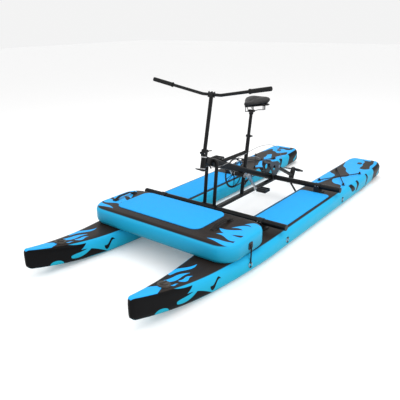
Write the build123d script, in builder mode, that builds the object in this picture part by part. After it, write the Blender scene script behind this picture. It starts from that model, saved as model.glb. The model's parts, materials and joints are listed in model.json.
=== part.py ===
from build123d import *
from math import cos, pi, radians, sin
import os

# Pedal boat: two long inflatable pontoons joined by two crossbars and a centre rail, an inflatable
# fore platform, a bicycle frame with saddle and wide handlebar, and a chain-driven tilting
# propeller leg steered by cables.  Millimetres.  +X towards the bow, +Y to port, +Z up.
# The origin is midway along the pontoons, on the centreline, level with their flat bottoms.

# ------------------------------------------------------------------ pontoons
pontoon_length = 3800
pontoon_width = 400
pontoon_thickness = 150
pontoon_spacing = 1026              # centreline to centreline
rail_radius = 46                    # rounding between deck and side wall
skin_thickness = 3                  # drop-stitch fabric, pontoons and platform
bow_taper_start = 560
rocker_start = 1180
bow_rise = 90
bow_tip_width = 34
bow_fullness = 1.75
stern_taper_start = -1200
stern_width = 360
stern_rise = 20
stern_corner_radius = 90
bow_stations = 16
stern_stations = 5
corner_stations = 5

# ------------------------------------------------------------------ deck fittings
pad_thickness = 6
pad_width = 296
pad_front = 292
pad_rear = -552
pad_corner_radius = 42
valve_x = 1600
valve_radius = 45
valve_height = 10
valve_cap_radius = 27
valve_cap_height = 14
vent_x = -1700
vent_radius = 26
vent_height = 8
ring_stations = (900, 380, -720)    # side D-rings along each pontoon
patch_size = 54
patch_thickness = 3
ring_radius = 17
ring_wire_radius = 2.5
bungee_front = -915
bungee_rear = -1355
bungee_half_width = 128
anchor_radius = 17
anchor_height = 12
bungee_radius = 4

# ------------------------------------------------------------------ fore platform
platform_front = 1165
platform_rear = 632
platform_width = 1400
platform_thickness = 150
platform_corner_radius = 150
platform_edge_radius = 44
platform_pad_front = 1055
platform_pad_rear = 668
platform_pad_port = 345
platform_pad_starboard = -500
platform_pad_corner = 70
handle_gap = 85                     # from the pad's ends to the carry handles
handle_length = 210
handle_width = 30
handle_thickness = 5
handle_lift = 22
tie_radius = 5

# ------------------------------------------------------------------ crossbars and rail
front_bar_x = 446
rear_bar_x = -600
bar_height = 205
bar_radius = 25
bar_wall = 3
bar_length = 1470
foot_length = 92
foot_width = 110
foot_plate = 7
strap_thickness = 4
strap_width = 50
strap_bolt_radius = 4
strap_ear = 16
plug_flange = 4
plug_depth = 22
plug_clearance = 0.05
brace_radius = 9
brace_inboard = 90                  # where a brace leaves its crossbar, inboard of the pontoon
brace_pad_radius = 24
brace_pad_thickness = 6
rail_width = 40
rail_depth = 28
rail_overhang = 62
clamp_half = 34                     # half length of the rear frame clamp
clamp_slot = 16                     # open underside of both frame clamps

# ------------------------------------------------------------------ bicycle frame
beam_front_depth = 72
beam_rear_depth = 48
beam_width = 42
beam_corner = 15
tube_wall = 3
beam_front_height = 632             # beam centreline where it meets the head tube
beam_front_x = 500
leg_spacing = 100
leg_radius = 15
leg_lean = 6.5
leg_bend_radius = 30
leg_top_height = 612
steer_lean = 12.5
head_low_x = 530.5
head_low_height = 575
head_length = 88
head_radius = 22
head_bore = 17.5
steerer_radius = 14.3
cup_height = 8
seat_lean = 10.5
seat_foot_x = -60
seat_tube_radius = 17.5
seat_tube_bore = 15.0
seat_tube_top = 700
seat_bore_floor = 440
running_clearance = 0.05
soft_clearance = 0.3
upper_tube_height = 568
upper_tube_radius = 16
upper_tube_front = 262

# ------------------------------------------------------------------ crank drive
bb_x = -35
bb_height = 375
bb_shell_radius = 22
bb_shell_width = 100
bb_cup_width = 6
spindle_radius = 9
chain_pitch = 12.7
ring_teeth = 68
sprocket_teeth = 17
chainline = -72
ring_thickness = 2.2
ring_rim = 15
ring_hub_radius = 30
spoke_width = 6
spoke_pair_angle = 14
spoke_pairs = 5
crank_length = 195
crank_angle = 51                    # of the starboard arm above horizontal, towards the bow
crank_thickness = 16
crank_offset = 80                   # of each arm's inner face from the centreline
crank_boss_radius = 20
crank_tip_radius = 14
pedal_axle_radius = 6
pedal_gap = 26
pedal_width = 100
pedal_length = 96
pedal_thickness = 24
pedal_bar = 9
chain_half_height = 4.3
chain_width = 9
chain_slot = 3.6

# ------------------------------------------------------------------ drive leg
drive_x = -680
drive_height = 300
leg_droop = 27.9                    # raised leg below horizontal
input_shaft_radius = 9
bracket_spacing = 84                # between the insides of the two bracket plates
bracket_thickness = 6
head_gear_radius = 29
head_half_width = 36
head_wall = 5
bevel_radius = 16
bevel_clearance = 0.6
drive_leg_radius = 19
drive_leg_bore = 15
drive_leg_start = 46
pod_distance = 432
pod_radius = 28
pod_front = 44
pod_rear = 48
leg_shaft_radius = 6
prop_radius = 118
prop_hub_radius = 24
prop_hub_length = 36
blade_width = 52
blade_thickness = 6
blade_pitch_angle = 32
prop_shaft_radius = 7
tiller_radius = 44
tiller_thickness = 8
skeg_depth = 62

# ------------------------------------------------------------------ cockpit
hinge_gap = 0.4
hinge_low_height = 26
hinge_high_height = 30
hinge_half_width = 21
hinge_sweep = 1.5 * hinge_half_width
hinge_pin_radius = 4
hinge_pin_forward = 27
post_radius = 16
post_length = 414
post_latch_length = 62
handlebar_radius = 12.5
handlebar_half_width = 559
handlebar_flat = 88
handlebar_rise = 90
handlebar_sweep = 50
grip_radius = 17
grip_length = 190
clamp_half_width = 24
clamp_size = 44
steering_arm_reach = 46
cable_radius = 2.5

# ------------------------------------------------------------------ saddle
seatpost_radius = seat_tube_bore - running_clearance
seatpost_bottom = 560
seatpost_top = 915
collar_radius = 25
collar_height = 20
collar_lever_length = 58
saddle_top = 1044
saddle_thickness = 62
saddle_length = 275
saddle_width = 252
saddle_nose = 46
saddle_set_back = 30
saddle_rail_radius = 3.5
saddle_rail_spacing = 44
saddle_shell_thickness = 5

# ------------------------------------------------------------------ derived places
side_y = pontoon_spacing / 2
half_length = pontoon_length / 2
deck_height = pontoon_thickness
sides = (1, -1)
bars = (front_bar_x, rear_bar_x)
clamp_outer = bar_radius + 8
rail_top = bar_height - bar_radius
steer_dir = Vector(-sin(radians(steer_lean)), 0, cos(radians(steer_lean)))
steer_fore = Vector(cos(radians(steer_lean)), 0, sin(radians(steer_lean)))
head_low = Vector(head_low_x, 0, head_low_height)
seat_dir = Vector(-sin(radians(seat_lean)), 0, cos(radians(seat_lean)))
seat_fore = Vector(cos(radians(seat_lean)), 0, sin(radians(seat_lean)))
leg_dir = Vector(-cos(radians(leg_droop)), 0, -sin(radians(leg_droop)))
prop_dir = Vector(-sin(radians(leg_droop)), 0, cos(radians(leg_droop)))
drive_centre = Vector(drive_x, 0, drive_height)
bb_centre = Vector(bb_x, 0, bb_height)
ring_pitch_radius = chain_pitch / (2 * sin(pi / ring_teeth))
sprocket_pitch_radius = chain_pitch / (2 * sin(pi / sprocket_teeth))
beam_front = Vector(beam_front_x, 0, beam_front_height)
beam_rear = Vector(rear_bar_x, 0, bar_height - 6)
beam_axis = (beam_front - beam_rear).normalized()


def steer_point(along, fore=0.0, port=0.0):
    """A point measured along the steering axis, forward of it and to port."""
    return head_low + steer_dir * along + steer_fore * fore + Vector(0, port, 0)


def steer_plane(along):
    return Plane(origin=steer_point(along), x_dir=steer_fore, z_dir=steer_dir)


def seat_point(height):
    """The point of the seat-tube axis at a height above the pontoon bottoms."""
    run = (height - rail_top) / cos(radians(seat_lean))
    return Vector(seat_foot_x, 0, rail_top) + seat_dir * run


def leg_point(along, up=0.0, port=0.0):
    """A point measured down the drive leg from the input shaft, towards the propeller side and to port."""
    return drive_centre + leg_dir * along + prop_dir * up + Vector(0, port, 0)


def crank_end(side):
    """Where an arm carries its pedal axle: the starboard arm points forward and up."""
    reach = Vector(cos(radians(crank_angle)), 0, sin(radians(crank_angle))) * crank_length
    return bb_centre - reach * side


def rod(start, end, radius, bore=0.0, mode=Mode.ADD):
    """A round bar or tube between two points, added to the part being built."""
    start = Vector(start)
    along = Vector(end) - start
    with BuildSketch(Plane(origin=start, z_dir=along.normalized())) as section:
        Circle(radius)
        if bore:
            Circle(bore, mode=Mode.SUBTRACT)
    extrude(section.sketch, amount=along.length, mode=mode)


def bar_between(start, end, width, depth, up, mode=Mode.ADD):
    """A rectangular bar between two points; its depth is measured towards up."""
    start = Vector(start)
    along = Vector(end) - start
    across = along.cross(Vector(up)).normalized()
    with BuildSketch(Plane(origin=start, x_dir=across, z_dir=along.normalized())) as section:
        Rectangle(width, depth)
    extrude(section.sketch, amount=along.length, mode=mode)


def bent_rod(points, radius, bend_radii, bore=0.0):
    """A round bar or tube along straight runs joined by tangent arcs."""
    with BuildLine() as route:
        FilletPolyline(*points, radius=bend_radii)
    start = route.wire() @ 0
    with BuildSketch(Plane(origin=start, z_dir=route.wire() % 0)) as section:
        Circle(radius)
        if bore:
            Circle(bore, mode=Mode.SUBTRACT)
    sweep(section.sketch, path=route.wire())


def bend_radii(points, share=0.45):
    """The largest even arc at each corner of a route."""
    radii = []
    for before, corner, after in zip(points, points[1:], points[2:]):
        run_in = Vector(corner) - Vector(before)
        run_out = Vector(after) - Vector(corner)
        half_turn = radians(run_in.get_angle(run_out)) / 2
        radii.append(share * min(run_in.length, run_out.length) / (sin(half_turn) / cos(half_turn)))
    return radii


# ------------------------------------------------------------------ pontoon form
def hull_width(x):
    if x > bow_taper_start:
        run = (x - bow_taper_start) / (half_length - bow_taper_start)
        return bow_tip_width + (pontoon_width - bow_tip_width) * (1 - run ** bow_fullness)
    if x < stern_taper_start:
        run = (stern_taper_start - x) / (half_length + stern_taper_start)
        return pontoon_width - (pontoon_width - stern_width) * run ** 1.5
    return pontoon_width


def hull_rise(x):
    if x > rocker_start:
        return bow_rise * ((x - rocker_start) / (half_length - rocker_start)) ** 2
    if x < stern_taper_start:
        return stern_rise * ((stern_taper_start - x) / (half_length + stern_taper_start)) ** 2
    return 0.0


bow_steps = [bow_taper_start + (rocker_start - bow_taper_start) * i / 5 for i in range(5)]
bow_steps += [rocker_start + (half_length - rocker_start) * i / bow_stations for i in range(bow_stations + 1)]
stern_steps = []
for i in range(stern_stations + 1):
    stern_run = half_length + stern_taper_start - stern_corner_radius
    stern_steps.append(stern_taper_start - stern_run * i / stern_stations)


def deck_plane(x, y, steps):
    """A plane lying on the deck facet that holds x, pointing up."""
    steps = sorted(steps)
    low = max(s for s in steps if s <= x)
    high = min(s for s in steps if s > x)
    slope = (hull_rise(high) - hull_rise(low)) / (high - low)
    height = deck_height + hull_rise(low) + slope * (x - low)
    return Plane(origin=(x, y, height), x_dir=(1, 0, slope), z_dir=(-slope, 0, 1))


def hull_section(x, width, rise, inset):
    """A cross-section of the port pontoon, drawn in from its outer skin by the inset."""
    plane = Plane(origin=(x, side_y, rise + pontoon_thickness / 2), x_dir=(0, 1, 0), z_dir=(1, 0, 0))
    with BuildSketch(plane) as section:
        corner = min(rail_radius, width / 2 - 1) - inset
        RectangleRounded(width - 2 * inset, pontoon_thickness - 2 * inset, corner)
    return section.sketch


def hull_body(inset, mode=Mode.ADD):
    """The pontoon's volume: a straight middle, a tapering rising bow and a rounded stern."""
    middle = hull_section(stern_taper_start, pontoon_width, 0, inset)
    extrude(middle, amount=bow_taper_start - stern_taper_start, dir=(1, 0, 0), mode=mode)
    tip = bow_steps[-1] - 2 * inset
    for steps in (bow_steps[:-1] + [tip], stern_steps):
        loft([hull_section(x, hull_width(x), hull_rise(x), inset) for x in steps], ruled=True, mode=mode)
    corner_x = -half_length + stern_corner_radius
    corner_sections = []
    for i in range(corner_stations + 1):
        turn = radians(90 * (1 - i / corner_stations))
        width = hull_width(corner_x) - 2 * stern_corner_radius * (1 - sin(turn))
        x = -half_length + stern_corner_radius * (1 - cos(turn))
        corner_sections.append(hull_section(max(x, inset - half_length), width, hull_rise(corner_x), inset))
    loft(corner_sections, ruled=True, mode=mode)


with BuildPart() as port_pontoon:
    hull_body(0)
    hull_body(skin_thickness, mode=Mode.SUBTRACT)

with BuildPart() as starboard_pontoon:
    mirror(port_pontoon.part, about=Plane.XZ)


# ------------------------------------------------------------------ deck pads and fittings
def deck_pad(y):
    """A foam pad: square at the crossbar, rounded at its rear corners."""
    middle_x = (pad_front + pad_rear) / 2
    with BuildSketch(Plane(origin=(middle_x, y, deck_height))) as outline:
        Rectangle(pad_front - pad_rear, pad_width)
        fillet(outline.vertices().group_by(Axis.X)[0], radius=pad_corner_radius)
    extrude(outline.sketch, amount=pad_thickness)


with BuildPart() as deck_pads:
    deck_pad(side_y)
    deck_pad(-side_y)

valve_planes = [deck_plane(valve_x, side * side_y, bow_steps) for side in sides]
vent_planes = [deck_plane(vent_x, side * side_y, stern_steps) for side in sides]

with BuildPart() as pontoon_valves:
    for plane in valve_planes:
        with BuildSketch(plane) as disc:
            Circle(valve_radius)
        extrude(disc.sketch, amount=valve_height, taper=12)
        with BuildSketch(plane.offset(valve_height + soft_clearance)) as cap:
            Circle(valve_cap_radius)
        extrude(cap.sketch, amount=valve_cap_height / 2)
        with BuildSketch(plane.offset(valve_height + soft_clearance + valve_cap_height / 2)) as wing:
            SlotOverall(1.7 * valve_cap_radius, 9)
        extrude(wing.sketch, amount=valve_cap_height / 2)
    for plane in vent_planes:
        with BuildSketch(plane) as disc:
            Circle(vent_radius)
        extrude(disc.sketch, amount=vent_height, taper=20)
    add(port_pontoon.part, mode=Mode.SUBTRACT)
    add(starboard_pontoon.part, mode=Mode.SUBTRACT)



def wall_plane(x, side):
    """A plane lying on a pontoon's outer side wall at mid height, pointing outboard."""
    slope = (hull_width(x + 1) - hull_width(x - 1)) / 4
    y = side_y + hull_width(x) / 2
    return Plane(origin=(x, side * y, pontoon_thickness / 2), x_dir=(side, slope, 0), z_dir=(-slope, side, 0))


wall_planes = [wall_plane(x, side) for side in sides for x in ring_stations]
ring_drop = patch_thickness + ring_wire_radius + 2
ring_spots = [plane.offset(ring_drop) for plane in wall_planes]

with BuildPart() as side_rings:
    for spot in ring_spots:
        with Locations(spot.location):
            Torus(ring_radius, ring_wire_radius)

bungee_middle = (bungee_front + bungee_rear) / 2
bungee_half_length = (bungee_front - bungee_rear) / 2
anchor_spots = []
for side in sides:
    for end in sides:
        for edge in sides:
            x = bungee_middle + end * bungee_half_length
            anchor_spots.append((x, side * side_y + edge * bungee_half_width))


def deck_spot(x, y, height=0.0):
    """A point at a height over the deck, on either side of the stern taper."""
    if x > stern_taper_start:
        return Vector(x, y, deck_height + height)
    plane = deck_plane(x, y, stern_steps)
    return plane.origin + plane.z_dir * height


with BuildPart() as deck_bungees:
    for side in sides:
        for crossing, (start, end) in enumerate(((1, -1), (-1, 1))):
            lift = anchor_height / 2 + 2 + crossing * (2 * bungee_radius + 1)
            rod(deck_spot(bungee_rear, side * side_y + start * bungee_half_width, lift),
                deck_spot(bungee_front, side * side_y + end * bungee_half_width, lift), bungee_radius)

with BuildPart() as bungee_anchors:
    for x, y in anchor_spots:
        plane = Plane.XY.offset(deck_height) if x > stern_taper_start else deck_plane(x, y, stern_steps)
        plane = Plane(origin=deck_spot(x, y), x_dir=plane.x_dir, z_dir=plane.z_dir)
        with BuildSketch(plane) as disc:
            Circle(anchor_radius)
        extrude(disc.sketch, amount=3)
        with BuildSketch(plane.offset(3)) as post:
            Circle(9)
        extrude(post.sketch, amount=anchor_height + 2 * bungee_radius)
    add(deck_bungees.part, mode=Mode.SUBTRACT)

# ------------------------------------------------------------------ fore platform
platform_length = platform_front - platform_rear
platform_middle = (platform_front + platform_rear) / 2
platform_top = deck_height + platform_thickness
pad_middle_x = (platform_pad_front + platform_pad_rear) / 2
pad_middle_y = (platform_pad_port + platform_pad_starboard) / 2
tie_spots = [(ring_stations[0], side) for side in sides]
platform_side = platform_width / 2

with BuildPart() as platform:
    with BuildSketch(Plane(origin=(platform_middle, 0, deck_height))) as outline:
        RectangleRounded(platform_length, platform_width, platform_corner_radius)
    extrude(outline.sketch, amount=platform_thickness)
    rims = edges().group_by(Axis.Z)
    fillet(rims[-1] + rims[0], radius=platform_edge_radius)
    offset(amount=-skin_thickness, mode=Mode.SUBTRACT)

with BuildPart() as platform_pad:
    with BuildSketch(Plane(origin=(pad_middle_x, pad_middle_y, platform_top))) as outline:
        RectangleRounded(platform_pad_front - platform_pad_rear, platform_pad_port - platform_pad_starboard,
                         platform_pad_corner)
    extrude(outline.sketch, amount=pad_thickness)

with BuildPart() as platform_handles:
    for y in (platform_pad_port + handle_gap, platform_pad_starboard - handle_gap):
        span = handle_length / 2
        for end in sides:
            with BuildSketch(Plane(origin=(pad_middle_x + end * span, y, platform_top))) as foot:
                RectangleRounded(44, handle_width + 14, 8)
            extrude(foot.sketch, amount=pad_thickness)
        with BuildSketch(Plane(origin=(pad_middle_x, y + handle_width / 2, platform_top + pad_thickness),
                               x_dir=(1, 0, 0), z_dir=(0, 1, 0))) as strap:
            with BuildLine():
                Spline((-span - 18, 0), (-span * 0.5, -handle_lift), (span * 0.5, -handle_lift), (span + 18, 0))
                Spline((-span + 2, 0), (-span * 0.45, -handle_lift + handle_thickness),
                       (span * 0.45, -handle_lift + handle_thickness), (span - 2, 0))
                Line((-span - 18, 0), (-span + 2, 0))
                Line((span + 18, 0), (span - 2, 0))
            make_face()
        extrude(strap.sketch, amount=-handle_width)

with BuildPart() as platform_ties:
    for x, side in tie_spots:
        ring = wall_plane(x, side).offset(ring_drop).origin
        top = (x, side * (platform_side + patch_thickness + tie_radius + 1), platform_top - platform_thickness / 2)
        rod(top, ring + Vector(0, side * 1.5, ring_radius + ring_wire_radius + soft_clearance), tie_radius)

with BuildPart() as ring_patches:
    for plane in wall_planes:
        with BuildSketch(plane) as patch:
            RectangleRounded(patch_size, patch_size, 12)
        extrude(patch.sketch, amount=patch_thickness)
        with BuildSketch(plane.offset(patch_thickness)) as lug:
            with Locations((0, ring_radius), (0, -ring_radius)):
                Rectangle(18, 11)
        extrude(lug.sketch, amount=2 * ring_wire_radius + 4)
    for x, side in tie_spots:
        wall = Plane(origin=(x, side * platform_side, platform_top - platform_thickness / 2),
                     x_dir=(side, 0, 0), z_dir=(0, side, 0))
        with BuildSketch(wall) as patch:
            RectangleRounded(patch_size, patch_size, 12)
        extrude(patch.sketch, amount=patch_thickness)
        with BuildSketch(wall.offset(patch_thickness)) as lug:
            Rectangle(16, 20)
        extrude(lug.sketch, amount=9)
    add(side_rings.part, mode=Mode.SUBTRACT)
    add(platform_ties.part, mode=Mode.SUBTRACT)

# ------------------------------------------------------------------ crossbars, feet and rail
with BuildPart() as crossbars:
    for x in bars:
        rod((x, -bar_length / 2, bar_height), (x, bar_length / 2, bar_height), bar_radius, bar_radius - bar_wall)

with BuildPart() as crossbar_plugs:
    for x in bars:
        for side in sides:
            end = side * bar_length / 2
            rod((x, end, bar_height), (x, end + side * plug_flange, bar_height), bar_radius - 1)
            rod((x, end - side * plug_depth, bar_height), (x, end, bar_height),
                bar_radius - bar_wall - plug_clearance)

with BuildPart() as crossbar_feet:
    for x in bars:
        for side in sides:
            with BuildSketch(Plane(origin=(x, side * side_y, deck_height))) as plate:
                RectangleRounded(foot_length, foot_width, 14)
            extrude(plate.sketch, amount=foot_plate)
            with BuildSketch(Plane(origin=(x, side * side_y, deck_height + foot_plate))) as block:
                Rectangle(2 * bar_radius + 2 * strap_ear, strap_width)
            extrude(block.sketch, amount=bar_height - deck_height - foot_plate)
            rod((x, side * (side_y - foot_width), bar_height), (x, side * (side_y + foot_width), bar_height),
                bar_radius, mode=Mode.SUBTRACT)

strap_top = bar_radius + strap_thickness
bolt_reach = bar_radius + strap_ear / 2
with BuildPart() as crossbar_straps:
    for x in bars:
        for side in sides:
            with BuildSketch(Plane(origin=(x, side * side_y - strap_width / 2, bar_height),
                                   x_dir=(-1, 0, 0), z_dir=(0, 1, 0))) as band:
                Circle(strap_top)
                Rectangle(2 * strap_top, strap_top, align=(Align.CENTER, Align.MAX), mode=Mode.SUBTRACT)
                Rectangle(2 * (bar_radius + strap_ear), strap_thickness, align=(Align.CENTER, Align.MIN))
                Circle(bar_radius, mode=Mode.SUBTRACT)
            extrude(band.sketch, amount=strap_width)

bolt_spots = [(x + end * (bar_radius + strap_ear * 0.62), side * side_y + edge * strap_width / 4)
              for x in bars for side in sides for end in sides for edge in sides]
with BuildPart() as frame_bolts:
    for x, y in bolt_spots:
        with BuildSketch(Plane(origin=(x, y, bar_height + strap_thickness))) as hexagon:
            RegularPolygon(strap_bolt_radius + 1.5, 6)
        extrude(hexagon.sketch, amount=4)
    for x in bars:
        for end in sides:
            with BuildSketch(Plane(origin=(x + end * (clamp_outer + 12), 0, rail_top))) as hexagon:
                RegularPolygon(8, 6)
            extrude(hexagon.sketch, amount=5)

brace_low = pontoon_thickness / 2
inner_wall = side_y - pontoon_width / 2
brace_high_y = inner_wall - brace_inboard
with BuildPart() as side_braces:
    for x in bars:
        for side in sides:
            rod((x, side * brace_high_y, bar_height - bar_radius + 6),
                (x, side * (inner_wall - brace_pad_thickness - 2), brace_low), brace_radius)
            rod((x, side * (inner_wall - brace_pad_thickness), brace_low), (x, side * inner_wall, brace_low),
                brace_pad_radius)
            rod((x, side * (brace_high_y - 60), bar_height), (x, side * (brace_high_y + 60), bar_height),
                bar_radius, mode=Mode.SUBTRACT)

with BuildPart() as centre_rail:
    rail_start = rear_bar_x - rail_overhang
    rail_end = front_bar_x + rail_overhang
    with BuildSketch(Plane(origin=(rail_start, 0, rail_top - rail_depth / 2),
                           x_dir=(0, 1, 0), z_dir=(1, 0, 0))) as profile:
        RectangleRounded(rail_width, rail_depth, 4)
        RectangleRounded(rail_width - 6, rail_depth - 6, 2, mode=Mode.SUBTRACT)
    extrude(profile.sketch, amount=rail_end - rail_start)

# ------------------------------------------------------------------ bicycle frame
with BuildPart() as head_tube:
    rod(steer_point(0), steer_point(head_length), head_radius, head_bore)

with BuildPart() as frame_clamps:
    for x, half in ((rear_bar_x, clamp_half), (front_bar_x, leg_spacing / 2 + 26)):
        rod((x, -half, bar_height), (x, half, bar_height), clamp_outer, bar_radius)
        with BuildSketch(Plane.XY.offset(rail_top)) as flat:
            with Locations((x, 0)):
                Rectangle(4 * clamp_outer, 4 * leg_spacing)
        extrude(flat.sketch, amount=-clamp_outer, mode=Mode.SUBTRACT)
        with BuildSketch(Plane.XY.offset(rail_top)) as slot:
            with Locations((x, 0)):
                Rectangle(clamp_slot, 4 * leg_spacing)
        extrude(slot.sketch, amount=bar_radius, mode=Mode.SUBTRACT)


def beam_body(inset, mode=Mode.ADD):
    """The tapering beam's volume, drawn in from its outer face by the inset."""
    ends = []
    for origin, depth in ((beam_rear, beam_rear_depth), (beam_front, beam_front_depth)):
        with BuildSketch(Plane(origin=origin, x_dir=(0, 1, 0), z_dir=beam_axis)) as section:
            RectangleRounded(beam_width - 2 * inset, depth - 2 * inset, beam_corner - inset)
        ends.append(section.sketch)
    loft(ends, ruled=True, mode=mode)


with BuildPart() as main_beam:
    beam_body(0)
    beam_body(tube_wall, mode=Mode.SUBTRACT)
    rod(steer_point(-60), steer_point(head_length + 60), head_radius, mode=Mode.SUBTRACT)
    for start, end in ((0, -cup_height), (head_length, head_length + cup_height)):
        rod(steer_point(start), steer_point(end), head_radius + 3, mode=Mode.SUBTRACT)
    rod(steer_point(head_length + cup_height), steer_point(head_length + 60), hinge_sweep, mode=Mode.SUBTRACT)
    rod(seat_point(rail_top), seat_point(seat_tube_top), seat_tube_radius, mode=Mode.SUBTRACT)
    rod((bb_x, -bb_shell_width, bb_height), (bb_x, bb_shell_width, bb_height), bb_shell_radius,
        mode=Mode.SUBTRACT)
    rod((rear_bar_x, -clamp_half * 2, bar_height), (rear_bar_x, clamp_half * 2, bar_height), clamp_outer,
        mode=Mode.SUBTRACT)

lean_run = (leg_top_height - bar_height) * sin(radians(leg_lean)) / cos(radians(leg_lean))


def front_leg(side):
    """One leg: up from the front crossbar, then bent inwards onto the beam's side."""
    foot = (front_bar_x, side * leg_spacing / 2, bar_height)
    shoulder = (front_bar_x - lean_run, side * leg_spacing / 2, leg_top_height)
    bent_rod([foot, shoulder, (front_bar_x - lean_run, 0, leg_top_height)], leg_radius, leg_bend_radius,
             leg_radius - tube_wall)
    beam_body(0, mode=Mode.SUBTRACT)
    rod((front_bar_x, -leg_spacing, bar_height), (front_bar_x, leg_spacing, bar_height), clamp_outer,
        mode=Mode.SUBTRACT)


with BuildPart() as front_legs:
    for side in sides:
        front_leg(side)

with BuildPart() as seat_tube:
    rod(seat_point(rail_top - 40), seat_point(seat_tube_top), seat_tube_radius)
    rod(seat_point(seat_bore_floor), seat_point(seat_tube_top + 40), seat_tube_bore, mode=Mode.SUBTRACT)
    with BuildSketch(Plane.XY.offset(rail_top)) as flat:
        with Locations((seat_foot_x, 0)):
            Rectangle(300, 300)
    extrude(flat.sketch, amount=-100, mode=Mode.SUBTRACT)

with BuildPart() as upper_tube:
    rod((seat_point(upper_tube_height).X, 0, upper_tube_height), (upper_tube_front, 0, upper_tube_height),
        upper_tube_radius, upper_tube_radius - tube_wall)
    beam_body(0, mode=Mode.SUBTRACT)
    rod(seat_point(rail_top), seat_point(seat_tube_top), seat_tube_radius, mode=Mode.SUBTRACT)

bb_half = bb_shell_width / 2
with BuildPart() as bottom_bracket_shell:
    rod((bb_x, -bb_half, bb_height), (bb_x, bb_half, bb_height), bb_shell_radius, bb_shell_radius - 4)
    rod(seat_point(rail_top), seat_point(seat_tube_top), seat_tube_radius, mode=Mode.SUBTRACT)

bracket_out = bracket_spacing / 2 + bracket_thickness
with BuildPart() as frame_bearings:
    for side in sides:
        rod((bb_x, side * (bb_half - 16), bb_height), (bb_x, side * bb_half, bb_height),
            bb_shell_radius - 4, spindle_radius + running_clearance)
        rod((bb_x, side * bb_half, bb_height), (bb_x, side * (bb_half + bb_cup_width), bb_height),
            bb_shell_radius + 2, spindle_radius + running_clearance)

    for start, end in ((0, -cup_height), (head_length, head_length + cup_height)):
        rod(steer_point(start), steer_point(end), head_radius + 2, steerer_radius + running_clearance)
    for start, end in ((0, 12), (head_length - 12, head_length)):
        rod(steer_point(start), steer_point(end), head_bore, steerer_radius + running_clearance)
    for side in sides:
        rod((drive_x, side * (head_half_width + soft_clearance), drive_height),
            (drive_x, side * bracket_spacing / 2, drive_height), input_shaft_radius + 4,
            input_shaft_radius + running_clearance)
        rod((drive_x, side * bracket_spacing / 2, drive_height), (drive_x, side * bracket_out, drive_height),
            input_shaft_radius + 7, input_shaft_radius + running_clearance)

# ------------------------------------------------------------------ crank drive
crank_outer = crank_offset + crank_thickness
with BuildPart() as crank_spindle:
    rod((bb_x, -crank_outer, bb_height), (bb_x, crank_outer, bb_height), spindle_radius)
    for side in sides:
        rod((bb_x, side * crank_outer, bb_height), (bb_x, side * (crank_outer + 4), bb_height), 12)

ring_face = Plane(origin=(bb_x, chainline + ring_thickness / 2, bb_height), x_dir=(1, 0, 0), z_dir=(0, -1, 0))
rim_inner = ring_pitch_radius - ring_rim
with BuildPart() as chainring:
    with BuildSketch(ring_face) as wheel:
        Circle(ring_pitch_radius + 1.2)
        with PolarLocations(ring_pitch_radius, ring_teeth):
            Circle(4, mode=Mode.SUBTRACT)
        Circle(rim_inner, mode=Mode.SUBTRACT)
        for pair in range(spoke_pairs):
            for lean in (-spoke_pair_angle / 2, spoke_pair_angle / 2):
                with Locations(Rotation(0, 0, 360 * pair / spoke_pairs + crank_angle + lean)):
                    with Locations(((ring_hub_radius + rim_inner) / 2, 0)):
                        Rectangle(rim_inner - ring_hub_radius + 12, spoke_width)
        Circle(ring_hub_radius)
        Circle(spindle_radius, mode=Mode.SUBTRACT)
    extrude(wheel.sketch, amount=ring_thickness)


def crank_arm(side):
    """A tapering arm on the spindle's square end, with a boss at each end."""
    tip = crank_end(side)
    inner = Plane(origin=(bb_x, side * crank_offset, bb_height), x_dir=(tip - bb_centre).normalized(),
                  z_dir=(0, side, 0))
    with BuildSketch(inner) as arm:
        with Locations((crank_length / 2, 0)):
            Trapezoid(2 * crank_boss_radius - 8, crank_length, 86.5, rotation=-90)
        Circle(crank_boss_radius)
        with Locations((crank_length, 0)):
            Circle(crank_tip_radius)
    extrude(arm.sketch, amount=crank_thickness)


with BuildPart() as crank_arms:
    crank_arm(1)
    crank_arm(-1)
    rod((bb_x, -crank_offset, bb_height), (bb_x, chainline - ring_thickness / 2, bb_height),
        ring_hub_radius - 4)
    rod((bb_x, -crank_outer, bb_height), (bb_x, crank_outer, bb_height), spindle_radius, mode=Mode.SUBTRACT)

pedal_inner = crank_outer + pedal_gap
with BuildPart() as pedal_axles:
    for side in sides:
        tip = crank_end(side)
        rod((tip.X, side * crank_outer, tip.Z), (tip.X, side * (crank_outer + 6), tip.Z), 9)
        rod((tip.X, side * (crank_outer + 6), tip.Z), (tip.X, side * (pedal_inner + pedal_width - 8), tip.Z),
            pedal_axle_radius)


def pedal(side):
    """A cage pedal: two side rails, two end plates and a sleeve that turns on the axle."""
    tip = crank_end(side)
    middle_y = side * (pedal_inner + pedal_width / 2)
    with BuildSketch(Plane(origin=(tip.X, middle_y, tip.Z - pedal_thickness / 2))) as cage:
        RectangleRounded(pedal_length, pedal_width, 12)
        with Locations((pedal_length / 4, 0), (-pedal_length / 4, 0)):
            Rectangle(pedal_length / 2 - 1.5 * pedal_bar, pedal_width - 2 * pedal_bar, mode=Mode.SUBTRACT)
    extrude(cage.sketch, amount=pedal_thickness)
    rod((tip.X, side * (pedal_inner - 4), tip.Z), (tip.X, side * (pedal_inner + pedal_width - 4), tip.Z), 11)
    rod((tip.X, side * (pedal_inner - 8), tip.Z), (tip.X, side * (pedal_inner + pedal_width - 8), tip.Z),
        pedal_axle_radius + running_clearance, mode=Mode.SUBTRACT)


with BuildPart() as port_pedal:
    pedal(1)

with BuildPart() as starboard_pedal:
    pedal(-1)

chain_face = Plane(origin=(0, chainline + chain_width / 2, 0), x_dir=(1, 0, 0), z_dir=(0, -1, 0))


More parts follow.
